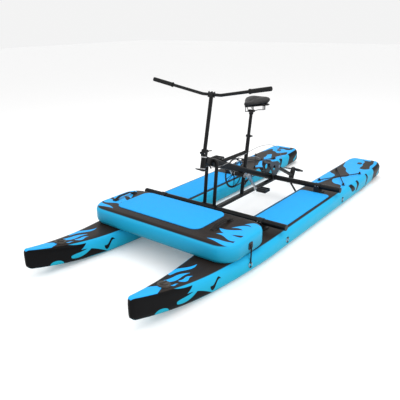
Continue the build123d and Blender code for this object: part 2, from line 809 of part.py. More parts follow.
def chain_loop(offset, thickness, inset=0.0, mode=Mode.ADD):
    """The belt-shaped area round both sprockets at an offset from their pitch circles, extruded."""
    with BuildSketch(chain_face.offset(inset)) as loop:
        with Locations((bb_x, bb_height)):
            Circle(ring_pitch_radius + offset)
        with Locations((drive_x, drive_height)):
            Circle(sprocket_pitch_radius + offset)
        make_hull()
    extrude(loop.sketch, amount=thickness, mode=mode)


with BuildPart() as chain:
    chain_loop(chain_half_height, chain_width)
    chain_loop(-chain_half_height, chain_width, mode=Mode.SUBTRACT)
    chain_loop(2.0, chain_slot, (chain_width - chain_slot) / 2, mode=Mode.SUBTRACT)

with BuildPart() as drive_sprocket:
    with BuildSketch(Plane(origin=(drive_x, chainline + ring_thickness / 2, drive_height),
                           x_dir=(1, 0, 0), z_dir=(0, -1, 0))) as wheel:
        Circle(sprocket_pitch_radius + 1.2)
        with PolarLocations(sprocket_pitch_radius, sprocket_teeth):
            Circle(4, mode=Mode.SUBTRACT)
        Circle(input_shaft_radius, mode=Mode.SUBTRACT)
    extrude(wheel.sketch, amount=ring_thickness)
    hub_end = -bracket_spacing / 2 - bracket_thickness - 1
    rod((drive_x, chainline + ring_thickness / 2, drive_height), (drive_x, hub_end, drive_height), 17,
        input_shaft_radius)

# ------------------------------------------------------------------ drive leg
with BuildPart() as input_shaft:
    rod((drive_x, chainline - 12, drive_height), (drive_x, bracket_out + 4, drive_height), input_shaft_radius)
    rod((drive_x, head_wall - head_half_width + 1, drive_height),
        (drive_x, -input_shaft_radius - bevel_clearance, drive_height), bevel_radius)

with BuildPart() as drive_bracket:
    for side in sides:
        inner = side * bracket_spacing / 2
        plane = Plane(origin=(0, inner, 0), x_dir=(1, 0, 0), z_dir=(0, -1, 0))
        with BuildSketch(plane) as cheek:
            with BuildLine():
                Polyline((rear_bar_x - 12, bar_height), (drive_x - 22, drive_height - 20),
                         (drive_x - 26, drive_height + 22), (drive_x + 30, drive_height + 62),
                         (rear_bar_x + 96, drive_height + 90), (rear_bar_x + 104, drive_height + 50),
                         (rear_bar_x + 30, bar_height), close=True)
            make_face()
            with Locations((rear_bar_x, bar_height)):
                Circle(clamp_outer)
            with Locations((rear_bar_x, bar_height)):
                Circle(bar_radius, mode=Mode.SUBTRACT)
            with Locations((drive_x, drive_height)):
                Circle(input_shaft_radius + 7, mode=Mode.SUBTRACT)
            with Locations((rear_bar_x + 20, drive_height + 10)):
                Circle(26, mode=Mode.SUBTRACT)
        extrude(cheek.sketch, amount=-side * bracket_thickness)
    rod((rear_bar_x + 76, -bracket_spacing / 2, drive_height + 66),
        (rear_bar_x + 76, bracket_spacing / 2, drive_height + 66), 9)

with BuildPart() as gear_head:
    rod((drive_x, -head_half_width, drive_height), (drive_x, head_half_width, drive_height), head_gear_radius)
    rod(leg_point(0), leg_point(drive_leg_start), drive_leg_radius + 5)
    rod((drive_x, -head_half_width + head_wall, drive_height), (drive_x, head_half_width - head_wall, drive_height),
        head_gear_radius - head_wall, mode=Mode.SUBTRACT)
    rod((drive_x, -head_half_width - 1, drive_height), (drive_x, head_half_width + 1, drive_height),
        input_shaft_radius + running_clearance, mode=Mode.SUBTRACT)
    rod(leg_point(0), leg_point(drive_leg_start + 1), leg_shaft_radius + 6, mode=Mode.SUBTRACT)
    rod(leg_point(drive_leg_start - 16), leg_point(drive_leg_start + 1), drive_leg_radius + running_clearance,
        mode=Mode.SUBTRACT)

tube_end = pod_distance - pod_radius + 6
with BuildPart() as drive_leg:
    rod(leg_point(drive_leg_start - 15), leg_point(tube_end), drive_leg_radius)
    rod(leg_point(drive_leg_start + 6), leg_point(drive_leg_start + 6 + tiller_thickness),
        drive_leg_radius + 9, drive_leg_radius)
    bar_between(leg_point(drive_leg_start + 6 + tiller_thickness / 2, 0, -tiller_radius),
                leg_point(drive_leg_start + 6 + tiller_thickness / 2, 0, tiller_radius), tiller_thickness,
                16, prop_dir)
    rod(leg_point(drive_leg_start - 16), leg_point(tube_end + 1), drive_leg_bore, mode=Mode.SUBTRACT)
    rod(leg_point(pod_distance, pod_rear), leg_point(pod_distance, -pod_front), pod_radius, mode=Mode.SUBTRACT)

with BuildPart() as gear_pod:
    skeg_middle = pod_distance + skeg_depth / 2
    bar_between(leg_point(skeg_middle, 8), leg_point(skeg_middle, -34), 5, skeg_depth, leg_dir)
    rod(leg_point(pod_distance, pod_rear), leg_point(pod_distance, -pod_front + 20), pod_radius)
    with BuildSketch(Plane(origin=leg_point(pod_distance, -pod_front + 20), z_dir=-prop_dir)) as nose:
        Circle(pod_radius)
    extrude(nose.sketch, amount=20, taper=30)
    rod(leg_point(pod_distance, pod_rear + 1), leg_point(pod_distance, -pod_front + 24), pod_radius - 6,
        mode=Mode.SUBTRACT)
    rod(leg_point(pod_distance - pod_radius - 2), leg_point(pod_distance), drive_leg_bore - 4,
        mode=Mode.SUBTRACT)

shaft_low = pod_distance - 15
with BuildPart() as leg_shaft:
    rod(leg_point(16), leg_point(shaft_low), leg_shaft_radius)
    rod(leg_point(bevel_radius + 0.8), leg_point(bevel_radius + 9), 9)
    rod(leg_point(pod_distance - 16), leg_point(pod_distance - 10.5), 9.5)

with BuildPart() as leg_bearings:
    rod(leg_point(pod_distance, pod_rear - 12), leg_point(pod_distance, pod_rear), pod_radius - 6,
        prop_shaft_radius + running_clearance)
    for start, end in ((drive_leg_start, drive_leg_start + 14), (tube_end - 30, tube_end - 16)):
        rod(leg_point(start), leg_point(end), drive_leg_bore, leg_shaft_radius + running_clearance)

hub_start = pod_rear + 1.5
hub_end_up = hub_start + prop_hub_length
with BuildPart() as propeller_shaft:
    rod(leg_point(pod_distance, 11), leg_point(pod_distance, hub_end_up), prop_shaft_radius)
    rod(leg_point(pod_distance, 11), leg_point(pod_distance, 17), 10)
    with BuildSketch(Plane(origin=leg_point(pod_distance, hub_end_up), z_dir=prop_dir)) as nut:
        RegularPolygon(12, 6)
    extrude(nut.sketch, amount=9)

with BuildPart() as propeller:
    rod(leg_point(pod_distance, hub_start), leg_point(pod_distance, hub_end_up), prop_hub_radius)
    for side in sides:
        centre = leg_point(pod_distance, (hub_start + hub_end_up) / 2)
        stations = ((prop_hub_radius - 8, 34, 1.0), (0.45 * prop_radius, blade_width, 0.72),
                    (0.75 * prop_radius, blade_width * 0.94, 0.5), (prop_radius, 22, 0.36))
        blade = []
        for reach, chord, twist in stations:
            turn = radians(blade_pitch_angle * twist + 6)
            chord_dir = leg_dir * cos(turn) + prop_dir * sin(turn) * -side
            with BuildSketch(Plane(origin=centre + Vector(0, side * reach, 0), x_dir=chord_dir,
                                   z_dir=(0, side, 0))) as section:
                Ellipse(chord / 2, blade_thickness / 2 * (1.15 - 0.5 * reach / prop_radius))
            blade.append(section.sketch)
        loft(blade)
    rod(leg_point(pod_distance, hub_start - 1), leg_point(pod_distance, hub_end_up + 1), prop_shaft_radius,
        mode=Mode.SUBTRACT)

# ------------------------------------------------------------------ cockpit
hinge_base = head_length + cup_height + 1
fold_line = hinge_base + hinge_low_height
hinge_top = fold_line + hinge_gap + hinge_high_height
post_top = post_length + hinge_top
bar_along = post_top + clamp_size / 2
bar_centre = steer_point(bar_along)
arm_along = -cup_height - 2
ear_radius = 9
ear_split = 8.6

with BuildPart() as steerer_tube:
    rod(steer_point(arm_along - 12), steer_point(hinge_base), steerer_radius, steerer_radius - 3)
    rod(steer_point(arm_along - 16), steer_point(arm_along - 12), steerer_radius + 1)
    with BuildSketch(steer_plane(hinge_base)) as block:
        RectangleRounded(2 * hinge_half_width, 2 * hinge_half_width, 6)
    extrude(block.sketch, amount=hinge_low_height)
    for side in sides:
        rod(steer_point(fold_line + hinge_gap / 2, hinge_pin_forward, side * ear_split),
            steer_point(fold_line + hinge_gap / 2, hinge_pin_forward, side * hinge_half_width), ear_radius)
        bar_between(steer_point(fold_line - 6, hinge_half_width - 4, side * (ear_split + hinge_half_width) / 2),
                    steer_point(fold_line - 6, hinge_pin_forward, side * (ear_split + hinge_half_width) / 2),
                    hinge_half_width - ear_split, 8, steer_dir)
    rod(steer_point(fold_line + hinge_gap / 2, hinge_pin_forward, -ear_split),
        steer_point(fold_line + hinge_gap / 2, hinge_pin_forward, ear_split), ear_radius + 0.5, mode=Mode.SUBTRACT)
    rod(steer_point(fold_line + hinge_gap / 2, hinge_pin_forward, -40),
        steer_point(fold_line + hinge_gap / 2, hinge_pin_forward, 40), hinge_pin_radius, mode=Mode.SUBTRACT)

with BuildPart() as steering_arm:
    with BuildSketch(steer_plane(arm_along)) as plate:
        with BuildLine():
            Polyline((-20, -16), (8, -steering_arm_reach - 8), (26, -steering_arm_reach - 8),
                     (40, -12), (40, 12), (26, steering_arm_reach + 8), (8, steering_arm_reach + 8),
                     (-20, 16), close=True)
        make_face()
        Circle(steerer_radius, mode=Mode.SUBTRACT)
        with Locations((17, steering_arm_reach), (17, -steering_arm_reach)):
            Circle(3.5, mode=Mode.SUBTRACT)
    extrude(plate.sketch, amount=-8)

with BuildPart() as post_hinge_pin:
    rod(steer_point(fold_line + hinge_gap / 2, hinge_pin_forward, -hinge_half_width - 2),
        steer_point(fold_line + hinge_gap / 2, hinge_pin_forward, hinge_half_width + 2), hinge_pin_radius)

latch_along = fold_line + hinge_gap + 16
latch_back = -hinge_half_width - 10
with BuildPart() as post_latch_lever:
    rod(steer_point(latch_along, latch_back, -16), steer_point(latch_along, latch_back, 16), hinge_pin_radius)
    rod(steer_point(latch_along, latch_back, -8), steer_point(latch_along, latch_back, 8), 8)
    bar_between(steer_point(latch_along, latch_back), steer_point(latch_along + 4, latch_back - post_latch_length),
                14, 7, steer_dir)
    fillet(edges().group_by(Axis.X)[0].filter_by(GeomType.LINE), radius=2)

with BuildPart() as handlepost:
    rod(steer_point(hinge_top), steer_point(post_top), post_radius, post_radius - 2)
    with BuildSketch(steer_plane(fold_line + hinge_gap)) as block:
        RectangleRounded(2 * hinge_half_width, 2 * hinge_half_width, 6)
    extrude(block.sketch, amount=hinge_high_height)
    rod(steer_point(fold_line + hinge_gap / 2, hinge_pin_forward, -ear_split),
        steer_point(fold_line + hinge_gap / 2, hinge_pin_forward, ear_split), ear_radius + 1, mode=Mode.SUBTRACT)
    for side in sides:
        rod(steer_point(fold_line + hinge_gap / 2, hinge_pin_forward, side * (ear_split - 0.5)),
            steer_point(fold_line + hinge_gap / 2, hinge_pin_forward, side * 40), ear_radius + 0.5,
            mode=Mode.SUBTRACT)
    rod(steer_point(fold_line + hinge_gap / 2, hinge_pin_forward, 0.5 - ear_split),
        steer_point(fold_line + hinge_gap / 2, hinge_pin_forward, ear_split - 0.5), ear_radius)
    bar_between(steer_point(fold_line + 7, hinge_half_width - 8), steer_point(fold_line + 7, hinge_pin_forward),
                2 * ear_split - 1, 8, steer_dir)
    rod(steer_point(fold_line + hinge_gap / 2, hinge_pin_forward, -40),
        steer_point(fold_line + hinge_gap / 2, hinge_pin_forward, 40), hinge_pin_radius + running_clearance,
        mode=Mode.SUBTRACT)
    for side in sides:
        bar_between(steer_point(latch_along, -hinge_half_width + 4, side * 12),
                    steer_point(latch_along, latch_back - 5, side * 12), 7, 14, steer_dir)
    rod(steer_point(latch_along, latch_back, -30), steer_point(latch_along, latch_back, 30),
        hinge_pin_radius + running_clearance, mode=Mode.SUBTRACT)
    with BuildSketch(steer_plane(post_top)) as block:
        RectangleRounded(clamp_size, 2 * clamp_half_width, 8)
    extrude(block.sketch, amount=clamp_size / 2 - 0.5)
    rod(bar_centre - Vector(0, 60, 0), bar_centre + Vector(0, 60, 0), handlebar_radius, mode=Mode.SUBTRACT)


def bar_end(side, share=1.0):
    """A point on an arm of the handlebar, from its inner bend to its tip."""
    bend = bar_centre + Vector(0, side * handlebar_flat, 0)
    tip = bar_centre + Vector(handlebar_sweep, side * handlebar_half_width, handlebar_rise)
    return bend + (tip - bend) * share


bar_arm_length = (bar_end(1) - bar_end(1, 0)).length
with BuildPart() as handlebar:
    bent_rod([bar_end(-1), bar_end(-1, 0), bar_end(1, 0), bar_end(1)], handlebar_radius, 120,
             handlebar_radius - tube_wall)

with BuildPart() as bar_clamp_cap:
    with BuildSketch(steer_plane(bar_along + 0.5)) as block:
        RectangleRounded(clamp_size, 2 * clamp_half_width, 8)
    extrude(block.sketch, amount=handlebar_radius + 6)
    rod(bar_centre - Vector(0, 60, 0), bar_centre + Vector(0, 60, 0), handlebar_radius, mode=Mode.SUBTRACT)
    for fore in (-16.5, 16.5):
        for side in sides:
            top = bar_along + handlebar_radius + 6.5
            rod(steer_point(top, fore, side * 16), steer_point(top + 6, fore, side * 16), 4.5)


def grip(side):
    """A rubber grip with a closed end and an inner collar."""
    inner = bar_end(side, 1 - grip_length / bar_arm_length)
    tip = bar_end(side)
    out = (tip - inner).normalized()
    rod(inner, tip, grip_radius, handlebar_radius)
    rod(inner, inner + out * 7, grip_radius + 3, handlebar_radius)
    rod(tip, tip + out * 5, grip_radius)


with BuildPart() as grips:
    for side in sides:
        grip(side)

# ------------------------------------------------------------------ saddle and its post
collar_low = seat_point(seat_tube_top)
with BuildPart() as seat_collar:
    rod(collar_low, collar_low + seat_dir * collar_height, collar_radius, seatpost_radius + 0.35)
    ear = collar_low + seat_dir * (collar_height / 2)
    bar_between(ear - seat_fore * (collar_radius - 3), ear - seat_fore * (collar_radius + 14), 18, 14, seat_dir)
    bar_between(ear - seat_fore * (collar_radius - 10), ear - seat_fore * (collar_radius + 15), 3, 20, seat_dir,
                mode=Mode.SUBTRACT)
    lever_axis = ear - seat_fore * (collar_radius + 7)
    rod(lever_axis - Vector(0, 30, 0), lever_axis + Vector(0, 30, 0), 3 + running_clearance, mode=Mode.SUBTRACT)

with BuildPart() as seat_collar_lever:
    rod(lever_axis - Vector(0, 16, 0), lever_axis + Vector(0, 22, 0), 3)
    rod(lever_axis + Vector(0, 9.3, 0), lever_axis + Vector(0, 20, 0), 7)
    rod(lever_axis - Vector(0, 13, 0), lever_axis - Vector(0, 9.3, 0), 6)
    lever_root = lever_axis + Vector(0, 22, 0)
    bar_between(lever_root, lever_root + seat_fore * collar_lever_length + Vector(0, 14, 0), 7, 13, seat_dir)

saddle_under = saddle_top - saddle_thickness
saddle_x = seat_point(seatpost_top).X - saddle_set_back
rear_lobe = saddle_width * 0.25
rear_x = saddle_x - saddle_length / 2 + rear_lobe
nose_x = saddle_x + saddle_length / 2 - saddle_nose / 2


def saddle_outline(height, inset=0.0):
    with BuildSketch(Plane.XY.offset(height)) as outline:
        with Locations((rear_x, saddle_width / 2 - rear_lobe), (rear_x, rear_lobe - saddle_width / 2)):
            Circle(rear_lobe - inset)
        with Locations((nose_x, 0)):
            Circle(saddle_nose / 2 - inset)
        make_hull()
    return outline.sketch


with BuildPart() as saddle_pad:
    extrude(saddle_outline(saddle_under), amount=saddle_thickness)
    fillet(edges().group_by(Axis.Z)[-1], radius=20)
    fillet(edges().group_by(Axis.Z)[0], radius=6)

with BuildPart() as saddle_shell:
    extrude(saddle_outline(saddle_under, 9), amount=-saddle_shell_thickness)

post_head = seat_point(seatpost_top)
saddle_rail_height = seatpost_top + 16
shell_under = saddle_under - saddle_shell_thickness
rail_back = saddle_x - saddle_length / 2 + 52
rail_front = nose_x - 4
with BuildPart() as saddle_frame:
    for side in sides:
        y = side * saddle_rail_spacing / 2
        bent_rod([(rail_back, side * 62, shell_under - 34), (rail_back + 34, y, saddle_rail_height),
                  (post_head.X + 60, y, saddle_rail_height), (rail_front, side * 8, shell_under - 1.9)],
                 saddle_rail_radius, 14)
        rod((rail_back, side * 62, shell_under - 38), (rail_back, side * 62, shell_under), 15)

with BuildPart() as seatpost:
    rod(seat_point(seatpost_bottom), seat_point(seatpost_top), seatpost_radius, seatpost_radius - 2)
    with BuildSketch(Plane(origin=(post_head.X, 0, saddle_rail_height - 9))) as block:
        RectangleRounded(38, saddle_rail_spacing + 16, 6)
    extrude(block.sketch, amount=18)
    rod(seat_point(seatpost_top - 14), seat_point(seatpost_top) + Vector(0, 0, 12), seatpost_radius + 5)
    add(saddle_frame.part, mode=Mode.SUBTRACT)

# ------------------------------------------------------------------ cables held along the frame
steering_route = [(452, 30, 562), (400, 29, 556), (300, 27, 541), (160, 25, 546), (20, 25, 556),
                  (-100, 26, 566), (-190, 28, 578), (-290, 31, 584), (-395, 36, 580), (-505, 43, 562),
                  (-606, 49, 520), (-678, 53, 450), (-708, 54, 372)]
lock_route = [(452, -30, 562), (400, -29, 556), (300, -27, 538), (160, -26, 504), (20, -26, 486),
              (-100, -27, 494), (-200, -30, 496), (-300, -36, 478), (-410, -46, 444), (-478, -53, 410)]


with BuildPart() as control_cables:
    bent_rod(steering_route, cable_radius, bend_radii(steering_route))
    bent_rod(lock_route, cable_radius, bend_radii(lock_route))

with BuildPart() as cable_clips:
    for route, spot in ((steering_route, 2), (steering_route, 5), (lock_route, 2), (lock_route, 5)):
        x, y, z = route[spot]
        side = 1 if y > 0 else -1
        with BuildSketch(Plane(origin=(x, 0, z), z_dir=(0, side, 0))) as lug:
            Rectangle(12, 12)
        extrude(lug.sketch, amount=abs(y) + 5)
    for route in (steering_route, lock_route):
        side = 1 if route[0][1] > 0 else -1
        front, behind = Vector(route[0]), Vector(route[1])
        rod(front, front + (front - behind).normalized() * 14, 5)
        bar_between(front + Vector(7, 0, 2), (front.X + 7, side * (beam_width / 2 - 6), front.Z + 22), 9, 9,
                    (1, 0, 0))
        last, ahead = Vector(route[-1]), Vector(route[-2])
        rod(last, last + (last - ahead).normalized() * 20, 6)
        rod((last.X, last.Y, last.Z) + (last - ahead).normalized() * 10,
            (last.X + (last - ahead).normalized().X * 10, side * (bracket_out - 3),
             last.Z + (last - ahead).normalized().Z * 10), 4)
    add(drive_bracket.part, mode=Mode.SUBTRACT)
    add(control_cables.part, mode=Mode.SUBTRACT)
    add(main_beam.part, mode=Mode.SUBTRACT)
    rod(seat_point(rail_top), seat_point(seat_tube_top), seat_tube_radius, mode=Mode.SUBTRACT)
    add(upper_tube.part, mode=Mode.SUBTRACT)

# ------------------------------------------------------------------ output
pieces = dict(
    port_pontoon=port_pontoon, starboard_pontoon=starboard_pontoon, deck_pads=deck_pads,
    pontoon_valves=pontoon_valves, ring_patches=ring_patches, side_rings=side_rings,
    bungee_anchors=bungee_anchors, deck_bungees=deck_bungees, platform=platform,
    platform_pad=platform_pad, platform_handles=platform_handles, platform_ties=platform_ties,
    crossbars=crossbars, crossbar_plugs=crossbar_plugs, crossbar_feet=crossbar_feet,
    crossbar_straps=crossbar_straps, frame_bolts=frame_bolts, side_braces=side_braces,
    centre_rail=centre_rail, frame_clamps=frame_clamps, main_beam=main_beam, front_legs=front_legs,
    head_tube=head_tube, seat_tube=seat_tube, upper_tube=upper_tube,
    bottom_bracket_shell=bottom_bracket_shell, frame_bearings=frame_bearings,
    crank_spindle=crank_spindle, chainring=chainring, crank_arms=crank_arms, pedal_axles=pedal_axles,
    port_pedal=port_pedal, starboard_pedal=starboard_pedal, chain=chain,
    drive_sprocket=drive_sprocket, input_shaft=input_shaft, drive_bracket=drive_bracket,
    gear_head=gear_head, drive_leg=drive_leg, gear_pod=gear_pod,
    leg_bearings=leg_bearings, leg_shaft=leg_shaft, propeller_shaft=propeller_shaft,
    propeller=propeller, steerer_tube=steerer_tube, steering_arm=steering_arm,
    post_hinge_pin=post_hinge_pin, handlepost=handlepost, post_latch_lever=post_latch_lever,
    handlebar=handlebar, bar_clamp_cap=bar_clamp_cap, grips=grips, seatpost=seatpost,
    seat_collar=seat_collar, seat_collar_lever=seat_collar_lever, saddle_pad=saddle_pad,
    saddle_shell=saddle_shell, saddle_frame=saddle_frame, control_cables=control_cables,
    cable_clips=cable_clips,
)

os.makedirs("parts", exist_ok=True)
for name, piece in pieces.items():
    piece.part.label = name
    export_step(piece.part, f"parts/{name}.step")
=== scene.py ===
import json
import math

import bpy
from mathutils import Matrix, Vector

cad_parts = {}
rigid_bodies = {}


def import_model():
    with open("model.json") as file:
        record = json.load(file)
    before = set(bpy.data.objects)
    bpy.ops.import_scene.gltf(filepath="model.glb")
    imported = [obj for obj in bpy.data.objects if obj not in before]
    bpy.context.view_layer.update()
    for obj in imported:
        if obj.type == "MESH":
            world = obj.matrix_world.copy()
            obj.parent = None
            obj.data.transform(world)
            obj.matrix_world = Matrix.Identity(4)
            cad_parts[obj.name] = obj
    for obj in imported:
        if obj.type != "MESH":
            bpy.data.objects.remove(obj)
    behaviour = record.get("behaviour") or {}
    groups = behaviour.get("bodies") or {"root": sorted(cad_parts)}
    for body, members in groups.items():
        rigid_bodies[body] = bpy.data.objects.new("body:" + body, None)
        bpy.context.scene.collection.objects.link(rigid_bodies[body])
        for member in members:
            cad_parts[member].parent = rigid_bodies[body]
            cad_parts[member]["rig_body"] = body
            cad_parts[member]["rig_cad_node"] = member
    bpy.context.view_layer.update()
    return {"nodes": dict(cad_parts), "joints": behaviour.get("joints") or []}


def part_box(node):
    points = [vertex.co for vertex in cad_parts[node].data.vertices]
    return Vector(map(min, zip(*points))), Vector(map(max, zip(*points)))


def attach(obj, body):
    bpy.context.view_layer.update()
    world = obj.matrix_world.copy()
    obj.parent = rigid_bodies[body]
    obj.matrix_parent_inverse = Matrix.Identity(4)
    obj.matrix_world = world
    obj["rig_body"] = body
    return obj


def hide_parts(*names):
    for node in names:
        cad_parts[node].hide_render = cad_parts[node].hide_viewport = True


# Pedal boat.  Metres, +X to the bow, +Y to port, +Z up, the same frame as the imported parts.
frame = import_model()
parts = frame["nodes"]
joints = {joint["name"]: joint for joint in frame["joints"]}
side_signs = {"port": 1, "starboard": -1}

# ---------------------------------------------------------------- camera, light and floor
camera_place = Vector((3.4722, 2.2762, 1.7092))
camera_target = Vector((0, -0.4487, 0.0337))
camera_roll = -0.0155
camera_lens = 42.87


def add_camera():
    """A camera looking at the boat from its port bow, tilted a little about its own axis."""
    data = bpy.data.cameras.new("camera")
    data.lens = camera_lens
    data.sensor_width = 36
    camera = bpy.data.objects.new("camera", data)
    bpy.context.scene.collection.objects.link(camera)
    turn = (camera_target - camera_place).to_track_quat("-Z", "Y").to_matrix().to_4x4()
    camera.matrix_world = Matrix.Translation(camera_place) @ turn @ Matrix.Rotation(camera_roll, 4, "Z")
    bpy.context.scene.camera = camera


def add_area_light(name, place, aim, size, power):
    data = bpy.data.lights.new(name, "AREA")
    data.shape = "RECTANGLE"
    data.size, data.size_y = size
    data.energy = power
    light = bpy.data.objects.new(name, data)
    light.location = place
    light.rotation_euler = (Vector(aim) - Vector(place)).to_track_quat("-Z", "Y").to_euler()
    bpy.context.scene.collection.objects.link(light)


add_camera()
add_area_light("overhead", (-0.6, 0.4, 5.0), (0, 0, 0), (5.0, 3.0), 110)
add_area_light("bow_side", (4.2, -1.6, 2.6), (0.4, 0, 0.3), (2.6, 2.0), 35)
add_area_light("port_side", (1.2, 5.0, 2.4), (0, 0.4, 0.2), (4.0, 1.6), 80)

world = bpy.data.worlds.new("studio")
world.use_nodes = True
world.node_tree.nodes["Background"].inputs["Color"].default_value = (1.0, 1.0, 1.0, 1)
world.node_tree.nodes["Background"].inputs["Strength"].default_value = 0.9
bpy.context.scene.world = world
bpy.context.scene.view_settings.view_transform = "Standard"


# ---------------------------------------------------------------- shader arithmetic
class Amount:
    """A number that varies over a surface; arithmetic on it adds the nodes it needs."""

    def __init__(self, finish, socket):
        self.finish = finish
        self.socket = socket

    def math(self, operation, *others):
        values = dict(enumerate((self, *others)))
        return self.finish.amount("ShaderNodeMath", {"operation": operation}, values)

    def __add__(self, other):
        return self.math("ADD", other)

    def __mul__(self, other):
        return self.math("MULTIPLY", other)

    def __sub__(self, other):
        return self.math("SUBTRACT", other)

    def __truediv__(self, other):
        return self.math("DIVIDE", other)

    def __pow__(self, other):
        return self.math("POWER", other)

    def __rsub__(self, other):
        return self.math("MULTIPLY", -1).math("ADD", other)

    def __abs__(self):
        return self.math("ABSOLUTE")

    __radd__ = __add__
    __rmul__ = __mul__

    def clamp(self):
        return self.math("MAXIMUM", 0).math("MINIMUM", 1)

    def above(self, level, softness=0.004):
        """1 where the amount is over the level, 0 below, with a soft step."""
        return ((self - level) / softness + 0.5).clamp()

    def below(self, level, softness=0.004):
        return 1 - self.above(level, softness)

    def either(self, other):
        return self.math("MAXIMUM", other)


class Finish:
    """A material in the making, with the shader that it feeds."""

    def __init__(self, name, roughness=0.5, metallic=0.0, **sockets):
        self.material = bpy.data.materials.new(name)
        self.material.use_nodes = True
        self.tree = self.material.node_tree
        self.shader = self.tree.nodes["Principled BSDF"]
        self.shader.inputs["Roughness"].default_value = roughness
        self.shader.inputs["Metallic"].default_value = metallic
        for socket, value in sockets.items():
            self.shader.inputs[socket.replace("_", " ")].default_value = value
        self.place = self.node("ShaderNodeTexCoord", output="Object")

    def node(self, kind, settings=None, values=None, output=0):
        """Adds a node, sets it up, fills or links its sockets, and gives one of its outputs."""
        made = self.tree.nodes.new(kind)
        for setting, value in (settings or {}).items():
            setattr(made, setting, value)
        for socket, value in (values or {}).items():
            self.feed(made.inputs[socket], value)
        return made.outputs[output]

    def feed(self, socket, value):
        if isinstance(value, Amount):
            value = value.socket
        if isinstance(value, bpy.types.NodeSocket):
            self.tree.links.new(value, socket)
        elif socket.type == "RGBA":
            socket.default_value = (*value, 1)
        else:
            socket.default_value = value

    def amount(self, kind, settings=None, values=None, output=0):
        return Amount(self, self.node(kind, settings, values, output))

    def axis(self, name):
        """The X, Y or Z of the place on the object, in metres."""
        return self.amount("ShaderNodeSeparateXYZ", None, {0: self.place}, name)

    def attribute(self, name):
        return self.amount("ShaderNodeAttribute", {"attribute_name": name}, None, "Fac")

    def stretched(self, scale):
        """The place on the object, scaled by a factor along each axis."""
        return self.node("ShaderNodeMapping", None, {"Vector": self.place, "Scale": scale})

    def noise(self, scale, detail=3.0, place=None, roughness=0.55):
        values = {"Vector": place or self.place, "Scale": scale, "Detail": detail, "Roughness": roughness}
        return self.amount("ShaderNodeTexNoise", None, values, "Fac")

    def cells(self, scale, feature="F1"):
        values = {"Vector": self.place, "Scale": scale}
        return self.amount("ShaderNodeTexVoronoi", {"feature": feature}, values, "Distance")

    def mix(self, share, one, other):
        """One colour where the share is 0, turning into the other where it is 1."""
        return self.node("ShaderNodeMix", {"data_type": "RGBA"}, {0: share, 6: one, 7: other}, 2)

    def colour(self, value):
        self.feed(self.shader.inputs["Base Color"], value)

    def rough(self, value):
        self.feed(self.shader.inputs["Roughness"], value)

    def bump(self, height, distance, strength=1.0):
        """Raises the surface by the height amount times the distance in metres."""
        values = {"Height": height, "Distance": distance, "Strength": strength}
        self.feed(self.shader.inputs["Normal"], self.node("ShaderNodeBump", None, values))


lick_roundness = 0.45
lick_fullness = 2.4


def lick(along, across, start, end, start_across, end_across, half_width, bow=0.0, softness=0.02, hook=0.0):
    """A curved stripe, rounded at its start, thinning to a point at its end, and hooked if wanted."""
    run = ((along - start) / (end - start)).clamp()
    middle = start_across + run * (end_across - start_across) + (run * math.pi).math("SINE") * bow
    if hook:
        middle = middle + (run * 2 * math.pi).math("SINE") * hook
    thickness = (run ** lick_roundness) * (1 - run) * (lick_fullness * half_width)
    inside = ((thickness - abs(across - middle)) / softness + 0.5).clamp()
    return inside * run.above(0.01, 0.01) * run.below(0.99, 0.01)


# ---------------------------------------------------------------- colours
bright_blue = (0.020, 0.385, 0.88)
# the three cyans below are one wall colour shown lit and shaded: painted light near the deck edge, painted
# shade lower on the walls and underneath
lit_edge_cyan = (0.018, 0.385, 0.68)
shaded_low_wall_cyan = (0.008, 0.31, 0.41)
shaded_foot_cyan = (0.008, 0.18, 0.25)
# a lighter warm grey, painted over the charcoal decks as a sheen
painted_sheen_grey = (0.040, 0.031, 0.027)
deck_black = (0.004, 0.004, 0.0045)
powder_black = (0.005, 0.005, 0.0055)


# ---------------------------------------------------------------- finishes of the inflatables
def skin_texture(finish, edge_lines):
    """Coated fabric: a fine weave under the coat, with faint glued edges."""
    weave = finish.cells(900.0)
    finish.bump(weave * 0.25 + edge_lines, 0.0007, 0.5)
    finish.rough(finish.noise(14.0) * 0.14 + 0.26)


